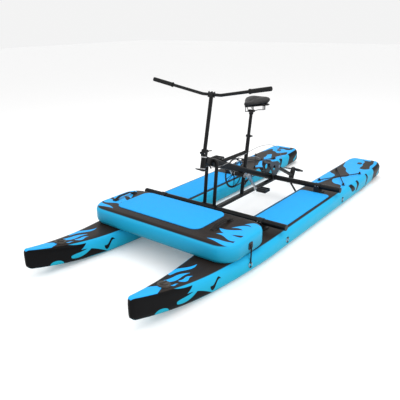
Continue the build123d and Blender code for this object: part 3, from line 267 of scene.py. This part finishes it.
def pontoon_finish():
    """Cyan walls with painted shading and a charcoal deck with a painted sheen, with plain wavy stripes at
    the bow and patches at the stern.
    """
    finish = Finish("pontoon_skin", 0.32, Specular_IOR_Level=0.06)
    along = finish.axis("X")
    girth = finish.attribute("girth")
    across = finish.attribute("across")
    height = girth - 1
    on_wall = girth.above(1.03, 0.02)
    on_base = girth.above(1.985, 0.02)

    # deck: charcoal with a painted sheen of warm lighter grey, a blue bow, stripes behind it and patches at
    # the stern
    painted_sheen = finish.noise(2.2, 2.0, finish.stretched((0.5, 2.2, 1.0)))
    dark = finish.mix(painted_sheen, deck_black, painted_sheen_grey)
    bow_blue = (along - abs(across) * 0.085).above(1.615)
    stripes = lick(along, across, 1.580, 1.350, -0.60, 0.10, 0.30, 0.10, hook=0.14)
    for *place, hook in (
        (1.495, 1.375, 0.40, 0.52, 0.22, 0.06, 0.12),
        (1.580, 1.520, 0.50, 0.70, 0.12, 0.04, 0.06),
        (1.470, 1.225, -0.92, -0.30, 0.26, -0.04, -0.16),
    ):
        stripes = stripes.either(lick(along, across, *place, hook=hook))
    patches = finish.noise(4.6, 1.2, finish.stretched((0.8, 1.25, 1.0)), 0.4).above(0.455, 0.012)
    stern_blue = patches * along.below(-0.70, 0.02)
    stern_cap = along.below(-1.83, 0.006)
    deck_blue = bow_blue.either(stripes).either(stern_blue).either(stern_cap * abs(across).below(0.55))
    nose = along.above(1.892, 0.004)
    deck = finish.mix(deck_blue * (1 - nose), dark, bright_blue)

    # walls: cyan with painted shading, lighter towards the deck and darker lower down, black at both ends
    # with wavy edges
    wall = finish.mix(height.clamp(), lit_edge_cyan, shaded_low_wall_cyan)
    wedge = (along + height * 0.03).above(1.60, 0.008)
    horn = lick(along, height, 1.66, 1.450, 0.16, 0.12, 0.30, 0.20)
    lobe = lick(along, height, 1.64, 1.275, 0.98, 0.90, 0.30, -0.26)
    wave_mark = lick(along, height, 1.305, 1.205, 0.56, 0.36, 0.13, hook=0.13)
    black_bow = wedge.either(horn).either(lobe).either(wave_mark)
    spot = 1 - (((along - 1.69) / 0.052) ** 2 + ((height - 0.97) / 0.22) ** 2).above(1.0, 0.1)
    band = lick(along, height, 1.585, 1.37, 0.70, 0.20, 0.13, 0.14)
    black_bow = black_bow * (1 - spot) * (1 - band)
    stern_wedge = (along - height * 0.07).below(-1.62, 0.008)
    stern_streak = lick(along, height, -1.72, -1.84, 0.72, 0.20, 0.12, 0.10)
    spikes = lick(along, height, -1.16, -1.06, 0.0, 0.62, 0.24)
    spikes = spikes.either(lick(along, height, -0.93, -1.05, 0.02, 0.44, 0.30))
    spikes = spikes.either(lick(along, height, -1.42, -1.34, 0.0, 0.70, 0.26))
    spikes = spikes.either(lick(along, height, -1.24, -1.36, 1.0, 0.74, 0.16))
    black_wall = black_bow.either(stern_wedge * (1 - stern_streak)).either(spikes)
    wall = finish.mix(black_wall, wall, deck_black)
    # the underside gets a darker cyan: painted shade
    wall = finish.mix(on_base * (1 - nose), wall, shaded_foot_cyan)
    finish.colour(finish.mix(on_wall, deck, wall))

    tape = abs(girth - 1.86).below(0.05, 0.01) + abs(girth - 1.14).below(0.05, 0.01)
    skin_texture(finish, tape * 0.6)
    return finish.material


def raft_finish(low, high):
    """Cyan walls with painted shading and a charcoal top with a painted sheen, plain wavy stripes at both
    ends.
    """
    finish = Finish("platform_skin", 0.32, Specular_IOR_Level=0.08)
    along, across, up = finish.axis("X"), finish.axis("Y"), finish.axis("Z")
    on_top = up.above(high.z - 0.013, 0.006)
    middle = (low.x + high.x) / 2
    # top: charcoal with a painted sheen of warm lighter grey
    painted_sheen = finish.noise(2.0, 2.0, finish.stretched((3.0, 0.7, 1.0)))
    dark = finish.mix(painted_sheen, deck_black, painted_sheen_grey)
    reach = abs(across)
    length = along - middle
    stripes = (reach - 0.662).above(0.0, 0.006)
    for *place, bow, hook in (
        (0.700, 0.445, -0.015, 0.020, 0.052, 0.020, -0.016),
        (0.700, 0.480, 0.075, 0.110, 0.040, 0.010, 0.018),
        (0.690, 0.515, -0.110, -0.030, 0.046, -0.016, 0.018),
        (0.690, 0.560, -0.180, -0.135, 0.040, -0.006, 0.014),
        (0.690, 0.470, 0.165, 0.205, 0.024, 0.016, 0.010),
    ):
        stripes = stripes.either(lick(reach, length, *place, bow, 0.006, hook))
    top = finish.mix(stripes, dark, bright_blue)
    # walls: painted shading, darker cyan at the bottom and lighter at the top
    wall = finish.mix(((up - low.z) / (high.z - low.z)).clamp(), shaded_foot_cyan, lit_edge_cyan)
    finish.colour(finish.mix(on_top, wall, top))
    tape = abs(up - (low.z + 0.035)).below(0.008, 0.002)
    skin_texture(finish, tape * 0.6)
    return finish.material


def foam_finish(name, colour):
    """Closed-cell foam sheet with a fine moulded grain."""
    finish = Finish(name, 0.72, Specular_IOR_Level=0.15)
    mottling = finish.noise(30.0, 4.0)
    shade = tuple(channel * 0.82 for channel in colour)
    finish.colour(finish.mix(mottling, shade, colour))
    finish.bump(finish.cells(420.0) + finish.noise(900.0) * 0.5, 0.0006, 0.45)
    finish.rough(mottling * 0.15 + 0.62)
    return finish.material


# ---------------------------------------------------------------- finishes of the hard parts
def powder_coat(name, colour=powder_black, gloss=0.34):
    """Black powder coat with its fine orange peel and slightly rubbed spots."""
    finish = Finish(name, gloss, Specular_IOR_Level=0.16)
    rub = finish.noise(9.0, 5.0).above(0.66, 0.08)
    finish.colour(finish.mix(rub * 0.35, colour, tuple(channel * 3.4 + 0.01 for channel in colour)))
    finish.rough(finish.noise(40.0, 3.0) * 0.18 + (gloss - 0.08))
    finish.bump(finish.noise(650.0, 2.0), 0.00025, 0.35)
    return finish.material


def metal_finish(name, colour, roughness, grain=(4.0, 120.0, 120.0)):
    """Bare metal with a drawn grain and small stains."""
    finish = Finish(name, roughness, 1.0)
    lines = finish.noise(3.0, 4.0, finish.stretched(grain))
    stains = finish.noise(16.0, 4.0)
    finish.colour(finish.mix(stains * 0.5, colour, tuple(channel * 0.62 for channel in colour)))
    finish.rough(lines * 0.22 + (roughness - 0.08))
    finish.bump(lines, 0.0002, 0.3)
    return finish.material


def moulded_plastic(name, colour, roughness=0.5):
    finish = Finish(name, roughness, Specular_IOR_Level=0.16)
    paler = tuple(channel * 1.7 + 0.004 for channel in colour)
    finish.colour(finish.mix(finish.noise(25.0, 3.0), colour, paler))
    finish.rough(finish.noise(80.0) * 0.16 + (roughness - 0.06))
    finish.bump(finish.cells(700.0), 0.0003, 0.4)
    return finish.material


def ribbed_rubber(name, colour, ribs_per_metre):
    """Rubber with rings moulded across the handlebar."""
    finish = Finish(name, 0.7, Specular_IOR_Level=0.2)
    rings = (finish.axis("Y") * (ribs_per_metre * 2 * math.pi)).math("SINE")
    finish.colour(finish.mix(finish.noise(60.0), colour, tuple(channel * 1.8 for channel in colour)))
    finish.rough(finish.noise(90.0) * 0.2 + 0.58)
    finish.bump(rings * 0.5 + finish.noise(600.0) * 0.2, 0.0012, 0.8)
    return finish.material


def woven_finish(name, colour, threads):
    """Webbing or braid: diagonal yarns crossing each other."""
    finish = Finish(name, 0.85, Specular_IOR_Level=0.2)
    along, across, up = finish.axis("X"), finish.axis("Y"), finish.axis("Z")
    one = ((along + across + up) * threads).math("SINE")
    other = ((along - across - up) * threads).math("SINE")
    yarn = one.either(other)
    # the colour is darker where the yarns are low, as painted shade in the hollows between them
    finish.colour(finish.mix((yarn * 0.5 + 0.5).clamp(), tuple(channel * 0.45 for channel in colour), colour))
    finish.bump(yarn, 0.0005, 0.6)
    return finish.material


def saddle_leather():
    """Smooth vinyl with a fine grain and soft wear on top."""
    finish = Finish("saddle_cover", 0.42, Specular_IOR_Level=0.22)
    wear = finish.noise(11.0, 4.0)
    finish.colour(finish.mix(wear, (0.004, 0.004, 0.0045), (0.013, 0.013, 0.0135)))
    finish.rough(wear * 0.2 + 0.34)
    grain = finish.cells(330.0, "DISTANCE_TO_EDGE").below(0.05, 0.05)
    finish.bump(grain * -0.4 + finish.noise(500.0) * 0.3, 0.0005, 0.5)
    return finish.material


powder = powder_coat("black_powder_coat")
soft_black = powder_coat("black_satin_tube", (0.013, 0.013, 0.014), 0.42)
bright_alloy = metal_finish("polished_alloy", (0.62, 0.63, 0.65), 0.3)
dull_alloy = metal_finish("cast_alloy", (0.13, 0.13, 0.135), 0.44)
steel = metal_finish("zinc_steel", (0.50, 0.50, 0.51), 0.32)
dark_steel = metal_finish("chain_steel", (0.085, 0.083, 0.080), 0.36)
black_plastic = moulded_plastic("black_plastic", (0.016, 0.016, 0.017))
pedal_plastic = moulded_plastic("pedal_plastic", (0.012, 0.012, 0.013), 0.42)
cable_sheath = moulded_plastic("cable_sheath", (0.16, 0.165, 0.17), 0.4)
valve_rubber = moulded_plastic("valve_plastic", (0.045, 0.040, 0.036), 0.42)
grip_rubber = ribbed_rubber("grip_rubber", (0.006, 0.006, 0.006), 150)
black_webbing = woven_finish("black_webbing", (0.014, 0.0135, 0.013), 1900)
bungee_braid = woven_finish("bungee_braid", (0.030, 0.034, 0.042), 2600)
blue_foam = foam_finish("blue_foam", bright_blue)

finishes = {
    powder: """crossbars centre_rail main_beam front_legs head_tube seat_tube upper_tube handlepost
        handlebar steerer_tube seatpost drive_leg gear_head gear_pod chainring frame_clamps""",
    soft_black: """side_braces crossbar_feet crossbar_straps bottom_bracket_shell steering_arm bar_clamp_cap
        seat_collar post_latch_lever seat_collar_lever""",
    bright_alloy: "crank_arms",
    dull_alloy: "drive_bracket",
    steel: """frame_bolts side_rings frame_bearings crank_spindle pedal_axles input_shaft leg_bearings
        leg_shaft propeller_shaft post_hinge_pin""",
    dark_steel: "drive_sprocket chain saddle_frame",
    black_plastic: "bungee_anchors crossbar_plugs saddle_shell propeller cable_clips ring_patches",
    pedal_plastic: "port_pedal starboard_pedal",
    valve_rubber: "pontoon_valves",
    grip_rubber: "grips",
    black_webbing: "platform_ties platform_handles",
    bungee_braid: "deck_bungees",
    cable_sheath: "control_cables",
}


def dress(piece, material):
    piece.data.materials.clear()
    piece.data.materials.append(material)


for material, names in finishes.items():
    for name in names.split():
        dress(parts[name], material)


# ---------------------------------------------------------------- modelling by hand
def only(piece):
    """Selects one piece and makes it active."""
    bpy.ops.object.select_all(action="DESELECT")
    piece.select_set(True)
    bpy.context.view_layer.objects.active = piece


def pick(piece, kind, wanted):
    """Enters edit mode with the wanted vertices, edges or faces selected."""
    only(piece)
    bpy.ops.object.mode_set(mode="EDIT")
    bpy.ops.mesh.select_mode(type=kind)
    bpy.ops.mesh.select_all(action="DESELECT")
    bpy.ops.object.mode_set(mode="OBJECT")
    items = {"VERT": piece.data.vertices, "EDGE": piece.data.edges, "FACE": piece.data.polygons}[kind]
    for item in items:
        item.select = wanted(item)
    bpy.ops.object.mode_set(mode="EDIT")


def leave_edit():
    bpy.ops.object.mode_set(mode="OBJECT")


def ends_of(piece, edge):
    return [piece.data.vertices[index].co for index in edge.vertices]


def upright_edges(piece, least=0.001):
    """Picks the edges of a piece that run up and down."""
    def wanted(edge):
        first, last = ends_of(piece, edge)
        return abs(first.z - last.z) > least
    return wanted


def top_edges(piece, height):
    """Picks the edges of a piece round its upper face."""
    def wanted(edge):
        return min(spot.z for spot in ends_of(piece, edge)) > height - 0.0001
    return wanted


def everything(item):
    return True


def add_block(name, low, high):
    """A box between two corners, with its place in its mesh."""
    low, high = Vector(low), Vector(high)
    bpy.ops.object.select_all(action="DESELECT")
    bpy.ops.mesh.primitive_cube_add(size=1, location=(low + high) / 2)
    block = bpy.context.object
    block.name = name
    block.scale = high - low
    bpy.ops.object.transform_apply(location=True, rotation=True, scale=True)
    return block


def round_edges(piece, wanted, width, segments):
    pick(piece, "EDGE", wanted)
    bpy.ops.mesh.bevel(offset=width, segments=segments, affect="EDGES")
    leave_edit()


def slice_along_x(piece, stations):
    """Cuts a ring of edges round the piece at each station."""
    pick(piece, "FACE", everything)
    for x in stations:
        bpy.ops.mesh.select_all(action="SELECT")
        bpy.ops.mesh.bisect(plane_co=(x, 0, 0), plane_no=(1, 0, 0))
    leave_edit()


def smooth_shade(piece, angle=40):
    only(piece)
    bpy.ops.object.shade_smooth_by_angle(angle=math.radians(angle))


def apply_modifier(piece, kind, **settings):
    only(piece)
    modifier = piece.modifiers.new(kind.lower(), kind)
    for setting, value in settings.items():
        setattr(modifier, setting, value)
    bpy.ops.object.modifier_apply(modifier=modifier.name)


def settle(piece, body, *stands_for, slot=None):
    """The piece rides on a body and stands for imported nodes."""
    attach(piece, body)
    if stands_for:
        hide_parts(*stands_for)


def join_as(name, pieces):
    bpy.ops.object.select_all(action="DESELECT")
    for piece in pieces:
        piece.select_set(True)
    bpy.context.view_layer.objects.active = pieces[0]
    bpy.ops.object.join()
    pieces[0].name = name
    return pieces[0]


# ---------------------------------------------------------------- pontoons
hull_low, hull_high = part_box("port_pontoon")
hull_length = hull_high.x - hull_low.x
hull_width = hull_high.y - hull_low.y
hull_middle_y = (hull_low.y + hull_high.y) / 2
hull_depth = 0.150
corner_round = 0.046
bow_taper_start = 0.560
rocker_start = 1.180
bow_rise = hull_high.z - hull_depth
bow_tip_width = 0.034
bow_fullness = 1.75
stern_taper_start = -1.200
stern_width = 0.360
stern_rise = 0.020
stern_corner = 0.090
end_round = 0.032
wall_bulge = 0.006


def width_at(x):
    if x > bow_taper_start:
        run = (x - bow_taper_start) / (hull_length / 2 - bow_taper_start)
        return bow_tip_width + (hull_width - bow_tip_width) * (1 - run ** bow_fullness)
    if x < stern_taper_start:
        run = (stern_taper_start - x) / (hull_length / 2 + stern_taper_start)
        return hull_width - (hull_width - stern_width) * run ** 1.5
    return hull_width


def rise_at(x):
    if x > rocker_start:
        return bow_rise * ((x - rocker_start) / (hull_length / 2 - rocker_start)) ** 2
    if x < stern_taper_start:
        return stern_rise * ((stern_taper_start - x) / (hull_length / 2 + stern_taper_start)) ** 2
    return 0.0


def end_inset(distance, radius):
    """How far a rounded corner lies inside the square one, at a distance from the end."""
    if distance >= radius:
        return 0.0
    return radius - math.sqrt(max(0.0, radius ** 2 - (radius - distance) ** 2))


def hull_stations():
    """Where the hull is cut: closer together where it rises and where its ends round off."""
    half = hull_length / 2
    stations = [0.0, -0.4, -0.8, stern_taper_start, 0.3]
    stations += [bow_taper_start + (half - end_round - bow_taper_start) * i / 30 for i in range(31)]
    stations += [half - end_round * (1 - math.sin(math.radians(15 * i))) for i in range(1, 6)]
    straight = half + stern_taper_start - stern_corner
    stations += [stern_taper_start - straight * i / 8 for i in range(1, 9)]
    stations += [-half + stern_corner * (1 - math.sin(math.radians(10 * i))) for i in range(1, 9)]
    return sorted(set(stations))


def paint_girth(hull):
    """Stores how far round the section each vertex lies: 0 mid deck, 1 deck edge, 2 wall foot."""
    girth = hull.data.attributes.new("girth", "FLOAT", "POINT")
    across = hull.data.attributes.new("across", "FLOAT", "POINT")
    flat_half = hull_width / 2 - corner_round
    for index, vertex in enumerate(hull.data.vertices):
        y, z = vertex.co.y, vertex.co.z
        if z > hull_depth - 0.0001 and abs(y) <= flat_half + 0.0001:
            value = abs(y) / flat_half
        elif z < 0.0001 and abs(y) <= flat_half + 0.0001:
            value = 3 - abs(y) / flat_half
        else:
            value = 2 - z / hull_depth
        girth.data[index].value = value
        across.data[index].value = y / flat_half


def form_hull(hull, side):
    """Narrows, lifts and rounds the sliced block into the pontoon's form."""
    half = hull_length / 2
    for vertex in hull.data.vertices:
        x, y, z = vertex.co
        width = width_at(x) / hull_width
        bow_inset = end_inset(half - x, end_round)
        stern_inset = end_inset(half + x, stern_corner)
        wide = max(0.15, 1 - 2 * stern_inset / stern_width)
        if x > half - end_round:
            wide = max(0.4, 1 - bow_inset / bow_tip_width)
        depth = 1 - 2 * (bow_inset + end_inset(half + x, end_round)) / hull_depth
        bulge = 0.0
        if abs(y) > 0.9 * hull_width / 2:
            bulge = wall_bulge * (1 - ((z - hull_depth / 2) / (hull_depth / 2)) ** 2)
        y = y * width * wide + math.copysign(bulge, y) * width
        z = hull_depth / 2 + (z - hull_depth / 2) * depth + rise_at(x)
        vertex.co = (x, side * hull_middle_y + y, z)


def add_pontoon(name, side, skin):
    low = (-hull_length / 2, -hull_width / 2, 0)
    high = (hull_length / 2, hull_width / 2, hull_depth)
    hull = add_block(name + "_hull", low, high)

    def runs_along(edge):
        first, last = ends_of(hull, edge)
        return abs(first.x - last.x) > 1

    round_edges(hull, runs_along, corner_round, 7)
    pick(hull, "FACE", everything)
    for y in (-0.077, 0.0, 0.077):
        bpy.ops.mesh.select_all(action="SELECT")
        bpy.ops.mesh.bisect(plane_co=(0, y, 0), plane_no=(0, 1, 0))
    leave_edit()
    slice_along_x(hull, hull_stations())
    paint_girth(hull)
    form_hull(hull, side)
    dress(hull, skin)
    smooth_shade(hull)
    settle(hull, "boat", name + "_pontoon", slot="pontoon_skin")


pontoon_skin = pontoon_finish()
for name, side in side_signs.items():
    add_pontoon(name, side, pontoon_skin)


# ---------------------------------------------------------------- fore platform
def add_platform():
    low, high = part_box("platform")
    corner, rim = 0.150, 0.044
    raft = add_block("platform_raft", low, high)
    round_edges(raft, upright_edges(raft, 0.1), corner, 16)

    def runs_level(edge):
        first, last = ends_of(raft, edge)
        return abs(first.z - last.z) < 0.001

    round_edges(raft, runs_level, rim, 8)
    dress(raft, raft_finish(low, high))
    smooth_shade(raft)
    settle(raft, "boat", "platform", slot="pontoon_skin")


def add_foam_pad(name, node, low, high, corner, square_end=None):
    """A foam sheet with rounded corners and a softened upper edge."""
    pad = add_block(name, low, high)
    upright = upright_edges(pad)

    def rounded_corner(edge):
        spot = ends_of(pad, edge)[0]
        return upright(edge) and (square_end is None or abs(spot.x - square_end) > 0.01)

    round_edges(pad, rounded_corner, corner, 12)
    round_edges(pad, top_edges(pad, high.z), 0.003, 4)
    dress(pad, blue_foam)
    smooth_shade(pad)
    settle(pad, "boat", node, slot="deck_foam")


add_platform()
low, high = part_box("platform_pad")
add_foam_pad("platform_foam", "platform_pad", low, high, 0.070)
pad_low, pad_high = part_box("deck_pads")
pad_half = pad_high.y - hull_middle_y
for name, side in side_signs.items():
    low = Vector((pad_low.x, side * hull_middle_y - pad_half, pad_low.z))
    high = Vector((pad_high.x, side * hull_middle_y + pad_half, pad_high.z))
    add_foam_pad(name + "_deck_foam", "deck_pads", low, high, 0.042, pad_high.x)

# ---------------------------------------------------------------- carry handles
handle_low, handle_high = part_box("platform_handles")
handle_middle_x = (handle_low.x + handle_high.x) / 2
handle_foot = 0.044
strap_width = 0.030
strap_thickness = 0.004
strap_rise = 0.0165


def add_handle(name, y):
    """A webbing strap standing in an arch between two stitched patches."""
    base = handle_low.z
    foot_top = base + 0.006
    half = (handle_high.x - handle_low.x) / 2
    strap = add_block(name, (handle_middle_x - half, y - strap_width / 2, foot_top),
                      (handle_middle_x + half, y + strap_width / 2, foot_top + strap_thickness))
    slice_along_x(strap, [handle_middle_x - half + half * i / 12 for i in range(1, 24)])
    for vertex in strap.data.vertices:
        run = min(1, max(0, (half - 0.014 - abs(vertex.co.x - handle_middle_x)) / 0.063))
        vertex.co.z += strap_rise * run * run * (3 - 2 * run)
    apply_modifier(strap, "BEVEL", width=0.0012, segments=2, limit_method="ANGLE")
    feet = []
    for end in (-1, 1):
        x = handle_middle_x + end * (half - handle_foot / 2)
        foot = add_block("foot", (x - handle_foot / 2, y - handle_foot / 2, base),
                         (x + handle_foot / 2, y + handle_foot / 2, foot_top))
        round_edges(foot, upright_edges(foot), 0.009, 6)
        round_edges(foot, top_edges(foot, foot_top), 0.002, 3)
        dress(foot, black_plastic)
        smooth_shade(foot)
        feet.append(foot)
    dress(strap, black_webbing)
    smooth_shade(strap)
    handle = join_as(name, [strap] + feet)
    settle(handle, "boat", "platform_handles", slot="webbing")


add_handle("port_handle", handle_high.y - handle_foot / 2)
add_handle("starboard_handle", handle_low.y + handle_foot / 2)


# ---------------------------------------------------------------- saddle
def add_saddle():
    """The pad: a dished rear, a rounded nose and a soft groove along its middle."""
    low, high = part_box("saddle_pad")
    source = parts["saddle_pad"]
    pad = source.copy()
    pad.data = source.data.copy()
    pad.name = "saddle_cushion"
    pad.parent = None
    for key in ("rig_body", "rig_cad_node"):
        if key in pad:
            del pad[key]
    bpy.context.scene.collection.objects.link(pad)
    pick(pad, "VERT", everything)
    bpy.ops.mesh.remove_doubles(threshold=0.0001)
    leave_edit()
    apply_modifier(pad, "REMESH", mode="VOXEL", voxel_size=0.005)
    apply_modifier(pad, "SMOOTH", factor=0.5, iterations=8)
    length = high.x - low.x
    for vertex in pad.data.vertices:
        x, y, z = vertex.co
        back = (high.x - x) / length
        share = min(1.0, max(0.0, (z - low.z) / (high.z - low.z)))
        reach = abs(y) / (high.y * (0.22 + 0.78 * min(1, back * 1.15)))
        rear = min(1, max(0, (back - 0.35) / 0.4))
        dish = 0.012 * math.sin(math.pi * min(1, max(0, back * 1.1 - 0.05))) * (1 - rear)
        groove = (0.007 + 0.017 * rear) * math.exp(-(y / (0.012 + 0.020 * rear)) ** 2)
        groove = groove * math.sin(math.pi * min(1, max(0.12, back + 0.04)))
        droop = 0.026 * max(0, 0.45 - back) / 0.45
        crown = (0.020 + 0.016 * rear) * min(1.3, max(0, reach - 0.40 * rear)) ** 2
        vertex.co.z = z - share * (dish + groove + droop + crown) + 0.004 * (1 - share)
        tuck = 0.24 * (1 - share) ** 1.5
        vertex.co.y = y * (1 - tuck)
        vertex.co.x = x + (0.010 * (1 - share) if x < (low.x + high.x) / 2 else -0.006 * (1 - share))
    apply_modifier(pad, "SUBSURF", levels=1, render_levels=1)
    dress(pad, saddle_leather())
    only(pad)
    bpy.ops.object.shade_smooth()
    settle(pad, "seat", "saddle_pad", slot="saddle_cover")


add_saddle()


# ---------------------------------------------------------------- chain
def chain_pins():
    """The pin places round both sprockets, a link apart, with the direction of travel at each."""
    ring = Vector(joints["crank_spin"]["pos_m"])
    sprocket = Vector(joints["sprocket_spin"]["pos_m"])
    ring_low, ring_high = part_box("chainring")
    small_low, small_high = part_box("drive_sprocket")
    tooth = 0.0012
    ring_radius = (ring_high.x - ring_low.x) / 2 - tooth
    small_radius = (small_high.x - small_low.x) / 2 - tooth
    run = ring - sprocket
    distance = math.hypot(run.x, run.z)
    tilt = math.atan2(run.z, run.x)
    spread = math.asin((ring_radius - small_radius) / distance)
    straight = distance * math.cos(spread)
    ring_arc = (math.pi + 2 * spread) * ring_radius
    small_arc = (math.pi - 2 * spread) * small_radius
    total = ring_arc + small_arc + 2 * straight
    count = 2 * round(total / 0.0127 / 2)
    upper = tilt + math.pi / 2 + spread
    lower = tilt - math.pi / 2 - spread
    pins = []
    for index in range(count):
        along = total * index / count
        if along < ring_arc:
            turn = lower + along / ring_radius
            pins.append((ring.x + ring_radius * math.cos(turn), ring.z + ring_radius * math.sin(turn)))
        elif along < ring_arc + straight:
            share = (along - ring_arc) / straight
            top = (ring.x + ring_radius * math.cos(upper), ring.z + ring_radius * math.sin(upper))
            back = (sprocket.x + small_radius * math.cos(upper), sprocket.z + small_radius * math.sin(upper))
            pins.append(tuple(a + (b - a) * share for a, b in zip(top, back)))
        elif along < ring_arc + straight + small_arc:
            turn = upper + (along - ring_arc - straight) / small_radius
            pins.append((sprocket.x + small_radius * math.cos(turn),
                         sprocket.z + small_radius * math.sin(turn)))
        else:
            share = (along - ring_arc - straight - small_arc) / straight
            back = (sprocket.x + small_radius * math.cos(lower), sprocket.z + small_radius * math.sin(lower))
            bottom = (ring.x + ring_radius * math.cos(lower), ring.z + ring_radius * math.sin(lower))
            pins.append(tuple(a + (b - a) * share for a, b in zip(back, bottom)))
    return pins


def add_link_plate(pitch, offset):
    """One side plate of a link, long in X and flat across Y, at an offset from the chain's middle."""
    bpy.ops.object.select_all(action="DESELECT")
    bpy.ops.mesh.primitive_cylinder_add(vertices=10, radius=0.0041, depth=0.0012, location=(0, offset, 0),
                                        rotation=(math.pi / 2, 0, 0))
    plate = bpy.context.object
    bpy.ops.object.transform_apply(location=True, rotation=True, scale=True)
    for vertex in plate.data.vertices:
        vertex.co.x += math.copysign(pitch / 2, vertex.co.x) if abs(vertex.co.x) > 0.0005 else 0
        if abs(vertex.co.x) <= 0.0005:
            vertex.co.z *= 0.78
    return plate


def add_chain():
    low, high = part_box("chain")
    middle = (low.y + high.y) / 2
    pins = chain_pins()
    pitch = 0.0127
    outer = join_as("outer_link", [add_link_plate(pitch, 0.0036), add_link_plate(pitch, -0.0036)])
    inner = join_as("inner_link", [add_link_plate(pitch, 0.0023), add_link_plate(pitch, -0.0023)])
    bpy.ops.mesh.primitive_cylinder_add(vertices=10, radius=0.0037, depth=0.0034,
                                        rotation=(math.pi / 2, 0, 0))
    roller = bpy.context.object
    bpy.ops.object.transform_apply(location=True, rotation=True, scale=True)
    copies = []
    for index, (x, z) in enumerate(pins):
        next_x, next_z = pins[(index + 1) % len(pins)]
        turn = Matrix.Rotation(-math.atan2(next_z - z, next_x - x), 4, "Y")
        for model, place in ((inner if index % 2 else outer, ((x + next_x) / 2, middle, (z + next_z) / 2)),
                             (roller, (x, middle, z))):
            copy = bpy.data.objects.new("link", model.data.copy())
            bpy.context.scene.collection.objects.link(copy)
            copy.data.transform(Matrix.Translation(place) @ turn)
            copies.append(copy)
    chain = join_as("roller_chain", copies)
    for model in (outer, inner, roller):
        bpy.data.objects.remove(model)
    dress(chain, dark_steel)
    smooth_shade(chain, 30)
    settle(chain, "boat", "chain", slot="steel")


add_chain()


# ---------------------------------------------------------------- saddle rails and springs
def add_tube(name, points, radius, steps=8):
    """A round wire along a smooth route."""
    curve = bpy.data.curves.new(name, "CURVE")
    curve.dimensions = "3D"
    curve.bevel_depth = radius
    curve.bevel_resolution = 3
    curve.resolution_u = steps
    curve.use_fill_caps = True
    spline = curve.splines.new("NURBS")
    spline.points.add(len(points) - 1)
    for point, place in zip(spline.points, points):
        point.co = (*place, 1)
    spline.order_u = 3
    spline.use_endpoint_u = True
    wire = bpy.data.objects.new(name, curve)
    bpy.context.scene.collection.objects.link(wire)
    only(wire)
    bpy.ops.object.convert(target="MESH")
    return bpy.context.object


def add_saddle_springs():
    low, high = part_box("saddle_frame")
    shell_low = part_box("saddle_shell")[0]
    post_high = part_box("seatpost")[1]
    coil_radius = 0.0125
    wire = 0.0028
    pieces = []
    for side in (-1, 1):
        x = low.x + 0.015
        y = side * (high.y - 0.015)
        bottom, top = low.z + wire, shell_low.z - wire
        turns, steps = 4, 14
        coil = []
        for index in range(turns * steps + 1):
            share = index / (turns * steps)
            turn = 2 * math.pi * turns * share
            coil.append((x + coil_radius * math.cos(turn), y + coil_radius * math.sin(turn),
                         bottom + (top - bottom) * share))
        pieces.append(add_tube("coil", coil, wire, steps=2))
        rail_y = side * 0.022
        rail_z = post_high.z - 0.0095
        nose = (high.x - 0.002, side * 0.008, shell_low.z - 0.001)
        route = [(x, y, bottom), (x + 0.016, side * 0.048, bottom + 0.001), (x + 0.034, rail_y, rail_z),
                 (x + 0.055, rail_y, rail_z), (nose[0] - 0.045, rail_y, rail_z),
                 (nose[0] - 0.018, rail_y, rail_z), (nose[0] - 0.008, side * 0.014, rail_z + 0.015), nose]
        pieces.append(add_tube("rail", route, 0.0035))
    springs = join_as("saddle_springs", pieces)
    dress(springs, dark_steel)
    smooth_shade(springs)
    settle(springs, "seat", "saddle_frame", slot="steel")


add_saddle_springs()

# ---------------------------------------------------------------- floor
bpy.ops.object.select_all(action="DESELECT")
bpy.ops.mesh.primitive_plane_add(size=60, location=(0, 0, -0.001))
floor = bpy.context.object
floor.name = "studio_floor"
pale = Finish("pale_floor", 0.9, Emission_Color=(1, 1, 1, 1), Emission_Strength=0.12)
pale.colour((0.9, 0.9, 0.9))
dress(floor, pale.material)
